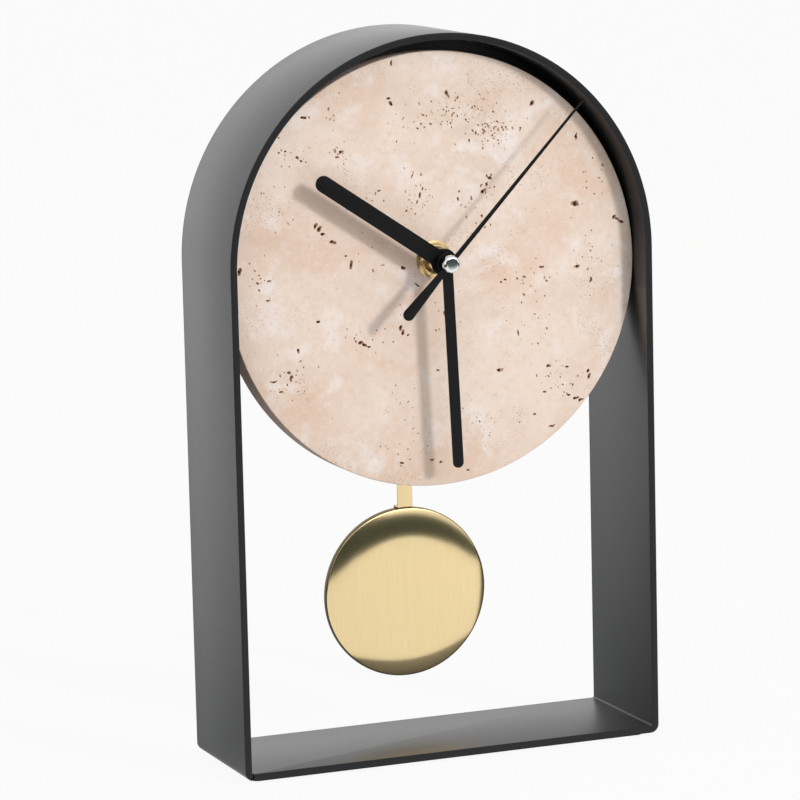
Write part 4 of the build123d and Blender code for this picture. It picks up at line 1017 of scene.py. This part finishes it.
# %% Threaded tube
pitch = 0.75 * MM
root_radius = bushing_radius - 0.42 * MM
thread_turns = 8
thread_start = bushing_low.y + 0.25 * MM - 2 * pitch
bpy.ops.object.select_all(action="DESELECT")
bpy.ops.mesh.primitive_plane_add(size=MM, location=(0, thread_start, spindle_z + root_radius))
thread = bpy.context.object
bpy.ops.object.transform_apply(location=True)
bpy.ops.object.mode_set(mode="EDIT")
bpy.ops.mesh.select_all(action="SELECT")
bpy.ops.mesh.merge(type="CENTER")
for step_back, step_out in ((0.36, 0.40), (0.06, 0.0), (0.27, -0.40), (0.06, 0.0)):
    bpy.ops.mesh.extrude_vertices_move(TRANSFORM_OT_translate={"value": (0, step_back * MM, step_out * MM)})
bpy.ops.object.mode_set(mode="OBJECT")
axis_helper = bpy.data.objects.new("thread_axis", None)
bpy.context.scene.collection.objects.link(axis_helper)
axis_helper.location = spindle
modify(thread, "SCREW", axis="Y", object=axis_helper, screw_offset=pitch, iterations=thread_turns, steps=48, render_steps=48, use_merge_vertices=True, merge_threshold=0.002 * MM)
bpy.data.objects.remove(axis_helper)
print("thread:", len(thread.data.polygons), "faces", [round(v / MM, 2) for v in thread.dimensions])


# %% [markdown]
# The ends of the thread are cut off square and closed, and the plain tube with its flange is
# joined on behind. The hollow for the hour tube goes through both.

# %% Trim, join and bore the tube


def trim(piece, place, keep_rear):
    """Cut a piece square at a place along the depth, keep one side and close the cut."""
    only(piece)
    bpy.ops.object.mode_set(mode="EDIT")
    bpy.ops.mesh.select_all(action="SELECT")
    bpy.ops.mesh.bisect(
        plane_co=(0, place, 0), plane_no=(0, 1, 0), use_fill=True,
        clear_inner=keep_rear, clear_outer=not keep_rear,
    )
    bpy.ops.mesh.select_all(action="SELECT")
    bpy.ops.mesh.normals_make_consistent(inside=False)
    bpy.ops.object.mode_set(mode="OBJECT")


thread_end = dial_low.y + 0.6 * MM
trim(thread, bushing_low.y, True)
trim(thread, thread_end, False)
flange_radius = bushing_high.x
tube_line = [
    (0, thread_end - 0.2 * MM), (bushing_radius - 0.2 * MM, thread_end - 0.2 * MM),
    (bushing_radius, thread_end), (bushing_radius, bushing_high.y - 0.8 * MM),
    (flange_radius, bushing_high.y - 0.8 * MM), (flange_radius, bushing_high.y), (0, bushing_high.y),
]
cut(thread, turn("plain_tube", spindle, tube_line, 64), "UNION")
hour_bore = 2.6 * MM
bore_line = [
    (0, bushing_low.y - MM), (hour_bore + MM, bushing_low.y - 0.7 * MM), (hour_bore, bushing_low.y + 0.3 * MM),
    (hour_bore, bushing_high.y + MM), (0, bushing_high.y + MM),
]
cut(thread, turn("tube_bore", spindle, bore_line, 64))
settle(thread, "threaded_tube", 30)
wear(thread, turned_brass, "clock", "turned_brass", "threaded_bushing")
print("threaded tube:", len(thread.data.polygons), "faces, proud of the nut by", round((nut_low.y - bushing_low.y) / MM, 2))

# %% [markdown]
# ## Hands
# Hands are stamped from thin sheet and lacquered black. The stamping leaves one edge slightly
# rounded, and that thin line of light round the eye is the only sign that they are metal. A hand
# is drawn pointing straight up: one half of a circle is pulled out to the length, which gives a
# bar with round ends. The eye is joined on, the hole is cut, and then it is turned to its time.

# %% Stamped hands
hour_low, hour_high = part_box("hour_hand")
minute_low, minute_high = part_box("minute_hand")
second_low, second_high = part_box("second_hand")


def disc_at(name, radius, front, rear, up=0.0, sides=64):
    """A flat round disc over the spindle, standing between two depths."""
    bpy.ops.object.select_all(action="DESELECT")
    bpy.ops.mesh.primitive_cylinder_add(
        vertices=sides, radius=radius, depth=rear - front,
        location=(0, (front + rear) / 2, spindle_z + up), rotation=(pi / 2, 0, 0),
    )
    bpy.ops.object.transform_apply(location=True, rotation=True)
    bpy.context.object.name = name
    return bpy.context.object


def bar_between(name, far_radius, far_up, near_radius, front, rear, sides=48):
    """A flat bar with round ends of two sizes: its near half is drawn back to the spindle."""
    piece = disc_at(name, far_radius, front, rear, far_up, sides)
    pick(piece, "vertices", lambda point: (point.co.z - spindle_z - far_up) * far_up < -0.001 * MM * MM)
    share = near_radius / far_radius
    bpy.ops.transform.resize(value=(share, 1, share), center_override=(0, 0, spindle_z + far_up))
    bpy.ops.transform.translate(value=(0, 0, -far_up))
    bpy.ops.object.mode_set(mode="OBJECT")
    return piece


def at_time(piece, angle):
    """Turn a hand clockwise from twelve."""
    turned_by = Matrix.Translation(spindle) @ Matrix.Rotation(radians(angle), 4, "Y") @ Matrix.Translation(-spindle)
    piece.matrix_world = turned_by @ piece.matrix_world
    only(piece)
    bpy.ops.object.transform_apply(location=True, rotation=True, scale=True)


def straight_hand(name, low, high, length, width, eye, hole, angle):
    """A bar with round ends, an eye and a hole, with its front edge rounded by the stamp."""
    hand = bar_between(name, width / 2, length - width / 2, width / 2, low.y, high.y)
    cut(hand, disc_at("eye", eye / 2, low.y, high.y, sides=72), "UNION")
    cut(hand, disc_at("hole", hole / 2, low.y - MM, high.y + MM))
    modify(hand, "BEVEL", width=0.1 * MM, segments=3, limit_method="ANGLE", angle_limit=radians(50))
    at_time(hand, angle)
    return settle(hand, name, 30)


hour_hand = straight_hand("hour_pointer", hour_low, hour_high, 63.8 * MM, 6.6 * MM, 10.8 * MM, 5.2 * MM, 304.3)
minute_hand = straight_hand("minute_pointer", minute_low, minute_high, 82.3 * MM, 4.5 * MM, 8.4 * MM, 3.3 * MM, 177.9)
wear(hour_hand, hand_lacquer, "hour_train", "hand_coat", "hour_hand")
wear(minute_hand, hand_lacquer, "minute_train", "hand_coat", "minute_hand")
for hand, low, high in ((hour_hand, hour_low, hour_high), (minute_hand, minute_low, minute_high)):
    box = [min(point.co.x for point in hand.data.vertices), max(point.co.x for point in hand.data.vertices)]
    print(hand.name, [round(v / MM, 1) for v in box], "CAD", round(low.x / MM, 1), round(high.x / MM, 1))

# %% [markdown]
# The second hand is a needle with a tail that widens to a round end, so that it balances on its
# thin arbor. It has a small tube behind it, which grips the arbor, and a polished cap in front.

# %% Second hand and its cap
sheet_rear = second_low.y + 0.5 * MM
needle = bar_between("second_pointer", 0.45 * MM, 85.05 * MM, 0.95 * MM, second_low.y, sheet_rear, 32)
tail = bar_between("tail", 2.35 * MM, -26.15 * MM, 1.05 * MM, second_low.y, sheet_rear)
cut(needle, tail, "UNION")
cut(needle, disc_at("hub", 2.5 * MM, second_low.y, sheet_rear, sides=48), "UNION")
modify(needle, "BEVEL", width=0.08 * MM, segments=3, limit_method="ANGLE", angle_limit=radians(50))
cut(needle, disc_at("grip", 1.0 * MM, second_low.y + 0.2 * MM, second_high.y, sides=32), "UNION")
cut(needle, disc_at("arbor_hole", 0.55 * MM, second_low.y - MM, second_high.y + MM, sides=32))
at_time(needle, 43.6)
settle(needle, "second_pointer", 30)
wear(needle, hand_lacquer, "second_train", "hand_coat", "second_hand")

cap_low, cap_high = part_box("hand_cap")
cap_radius = cap_high.x
cap_round = 1.5 * MM
cap_line = [(0, cap_low.y), ((cap_radius - cap_round) * 0.5, cap_low.y + 0.02 * MM)]
cap_line += arc((cap_radius - cap_round, cap_low.y + cap_round + 0.04 * MM), cap_round, -90, -4, 14)
cap_line += [(cap_radius, cap_high.y - 0.1 * MM), (cap_radius - 0.1 * MM, cap_high.y), (0.6 * MM, cap_high.y), (0.6 * MM, cap_high.y - 1.0 * MM), (0, cap_high.y - 1.0 * MM)]
cap = turn("chrome_cap", spindle, cap_line, 72)
settle(cap, "chrome_cap", 40)
wear(cap, chrome, "second_train", "polished_chrome", "hand_cap")
print("second hand:", len(needle.data.polygons), "faces, cap:", len(cap.data.polygons))

# %% [markdown]
# ## Battery and spring
# From behind the battery shows in its bay. It comes off the lathe helper with the axis turned
# sideways. The spring that presses it is a round wire, screwed round the same axis and joined to
# its little plate.

# %% Battery and spring contact
cell_radius = (cell_high.z - cell_low.z) / 2
cell_axis = Vector((0, (cell_low.y + cell_high.y) / 2, (cell_low.z + cell_high.z) / 2))
nub = 2.7 * MM
shoulder = cell_high.x - 1.0 * MM
cell_line = [(0, cell_low.x + 0.25 * MM), (cell_radius * 0.6, cell_low.x + 0.25 * MM), (cell_radius * 0.64, cell_low.x)]
cell_line += arc((cell_radius - 0.6 * MM, cell_low.x + 0.6 * MM), 0.6 * MM, -90, 0, 5)
cell_line += arc((cell_radius - 0.6 * MM, shoulder - 0.6 * MM), 0.6 * MM, 0, 90, 5)
cell_line += [(nub + 0.9 * MM, shoulder), (nub + 0.2 * MM, shoulder + 0.15 * MM)]
cell_line += arc((nub - 0.3 * MM, cell_high.x - 0.3 * MM), 0.3 * MM, 0, 90, 4) + [(0, cell_high.x)]
settle(turn("dry_cell", cell_axis, cell_line, 64, (1, 0, 0)), "dry_cell", 35)
wear(bpy.context.object, cell_sleeve, "clock", "cell_sleeve", "battery_cell")

leaf_low, leaf_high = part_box("spring_contact")
leaf_sheet = 0.4 * MM
wire_radius = 0.25 * MM
bpy.ops.object.select_all(action="DESELECT")
bpy.ops.mesh.primitive_cube_add(
    size=1, location=(leaf_low.x + leaf_sheet / 2, cell_axis.y, cell_axis.z),
    scale=(leaf_sheet, leaf_high.y - leaf_low.y, leaf_high.z - leaf_low.z),
)
leaf = bpy.context.object
bpy.ops.object.transform_apply(location=True, scale=True)
bpy.ops.object.select_all(action="DESELECT")
bpy.ops.mesh.primitive_circle_add(
    vertices=12, radius=wire_radius, fill_type="NOTHING", rotation=(pi / 2, 0, 0),
    location=(leaf_low.x + leaf_sheet + 0.15 * MM, cell_axis.y, cell_axis.z + 2.8 * MM),
)
coil = bpy.context.object
bpy.ops.object.transform_apply(location=True, rotation=True)
cell_helper = bpy.data.objects.new("cell_axis", None)
bpy.context.scene.collection.objects.link(cell_helper)
cell_helper.location = cell_axis
modify(coil, "SCREW", axis="X", object=cell_helper, screw_offset=0.6 * MM, iterations=2, steps=40, render_steps=40)
bpy.data.objects.remove(cell_helper)
bpy.ops.object.mode_set(mode="EDIT")
bpy.ops.mesh.select_all(action="SELECT")
bpy.ops.mesh.fill_holes(sides=0)
bpy.ops.mesh.normals_make_consistent(inside=False)
bpy.ops.object.mode_set(mode="OBJECT")
cut(leaf, coil, "UNION")
settle(leaf, "spring_leaf", 30)
wear(leaf, steel, "clock", "steel", "spring_contact")
print("spring:", len(leaf.data.polygons), "faces, reach", [round(v / MM, 2) for v in leaf.dimensions])

# %% [markdown]
# ## Pieces that keep their plain shape
# Some pieces are right already and only lack what a tool leaves on an edge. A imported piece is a
# loose set of triangles, so a copy is merged first, flat areas are dissolved into single faces,
# and then every keen edge is eased by its own amount: a moulded part by a visible round, a
# stamped one hardly at all.

# %% Ease the edges of a copy


def eased(node, name, width, segments=2, sharp=40):
    """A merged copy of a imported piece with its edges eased, in that piece's place and finish."""
    source = frame["nodes"][node]
    bpy.ops.object.select_all(action="DESELECT")
    piece = source.copy()
    piece.data = source.data.copy()
    for key in list(piece.keys()):
        del piece[key]
    piece.parent = None
    bpy.context.scene.collection.objects.link(piece)
    only(piece)
    bpy.ops.object.mode_set(mode="EDIT")
    bpy.ops.mesh.select_all(action="SELECT")
    bpy.ops.mesh.remove_doubles(threshold=0.001 * MM)
    bpy.ops.mesh.dissolve_limited(angle_limit=radians(0.6))
    bpy.ops.object.mode_set(mode="OBJECT")
    if piece.data.has_custom_normals:
        bpy.ops.mesh.customdata_custom_splitnormals_clear()
    if width:
        modify(piece, "BEVEL", width=width, segments=segments, limit_method="ANGLE", angle_limit=radians(sharp))
    settle(piece, name, 30)
    return wear(piece, finish_of_slot[slot_of_node[node]], body_of_node[node], slot_of_node[node], node)


plain_pieces = (
    ("rubber_feet", "foot_strips", 0.15), ("back_plate", "arch_plate", 0.2), ("case_gasket", "seal_ring", 0.15),
    ("plate_welds", "weld_beads", 0.45),
    ("movement_body", "case_body", 0.25), ("train_cover", "train_lid", 0.3),
    ("coil_cover", "coil_lid", 0.3), ("setting_knob", "time_knob", 0.2),
    ("pendulum_lever", "swing_lever", 0.3), ("pivot_pin", "headed_pin", 0.12),
    ("pendulum_rod", "flat_rod", 0.08), ("bob_back", "bob_base", 0.12),
    ("bob_stud", "bob_screw", 0.12), ("rating_nut", "regulating_nut", 0.15),
    ("plate_contact", "plus_contact", 0.05),
)
for node, name, width in plain_pieces:
    piece = eased(node, name, width * MM)
    print(name, len(piece.data.polygons), "faces")
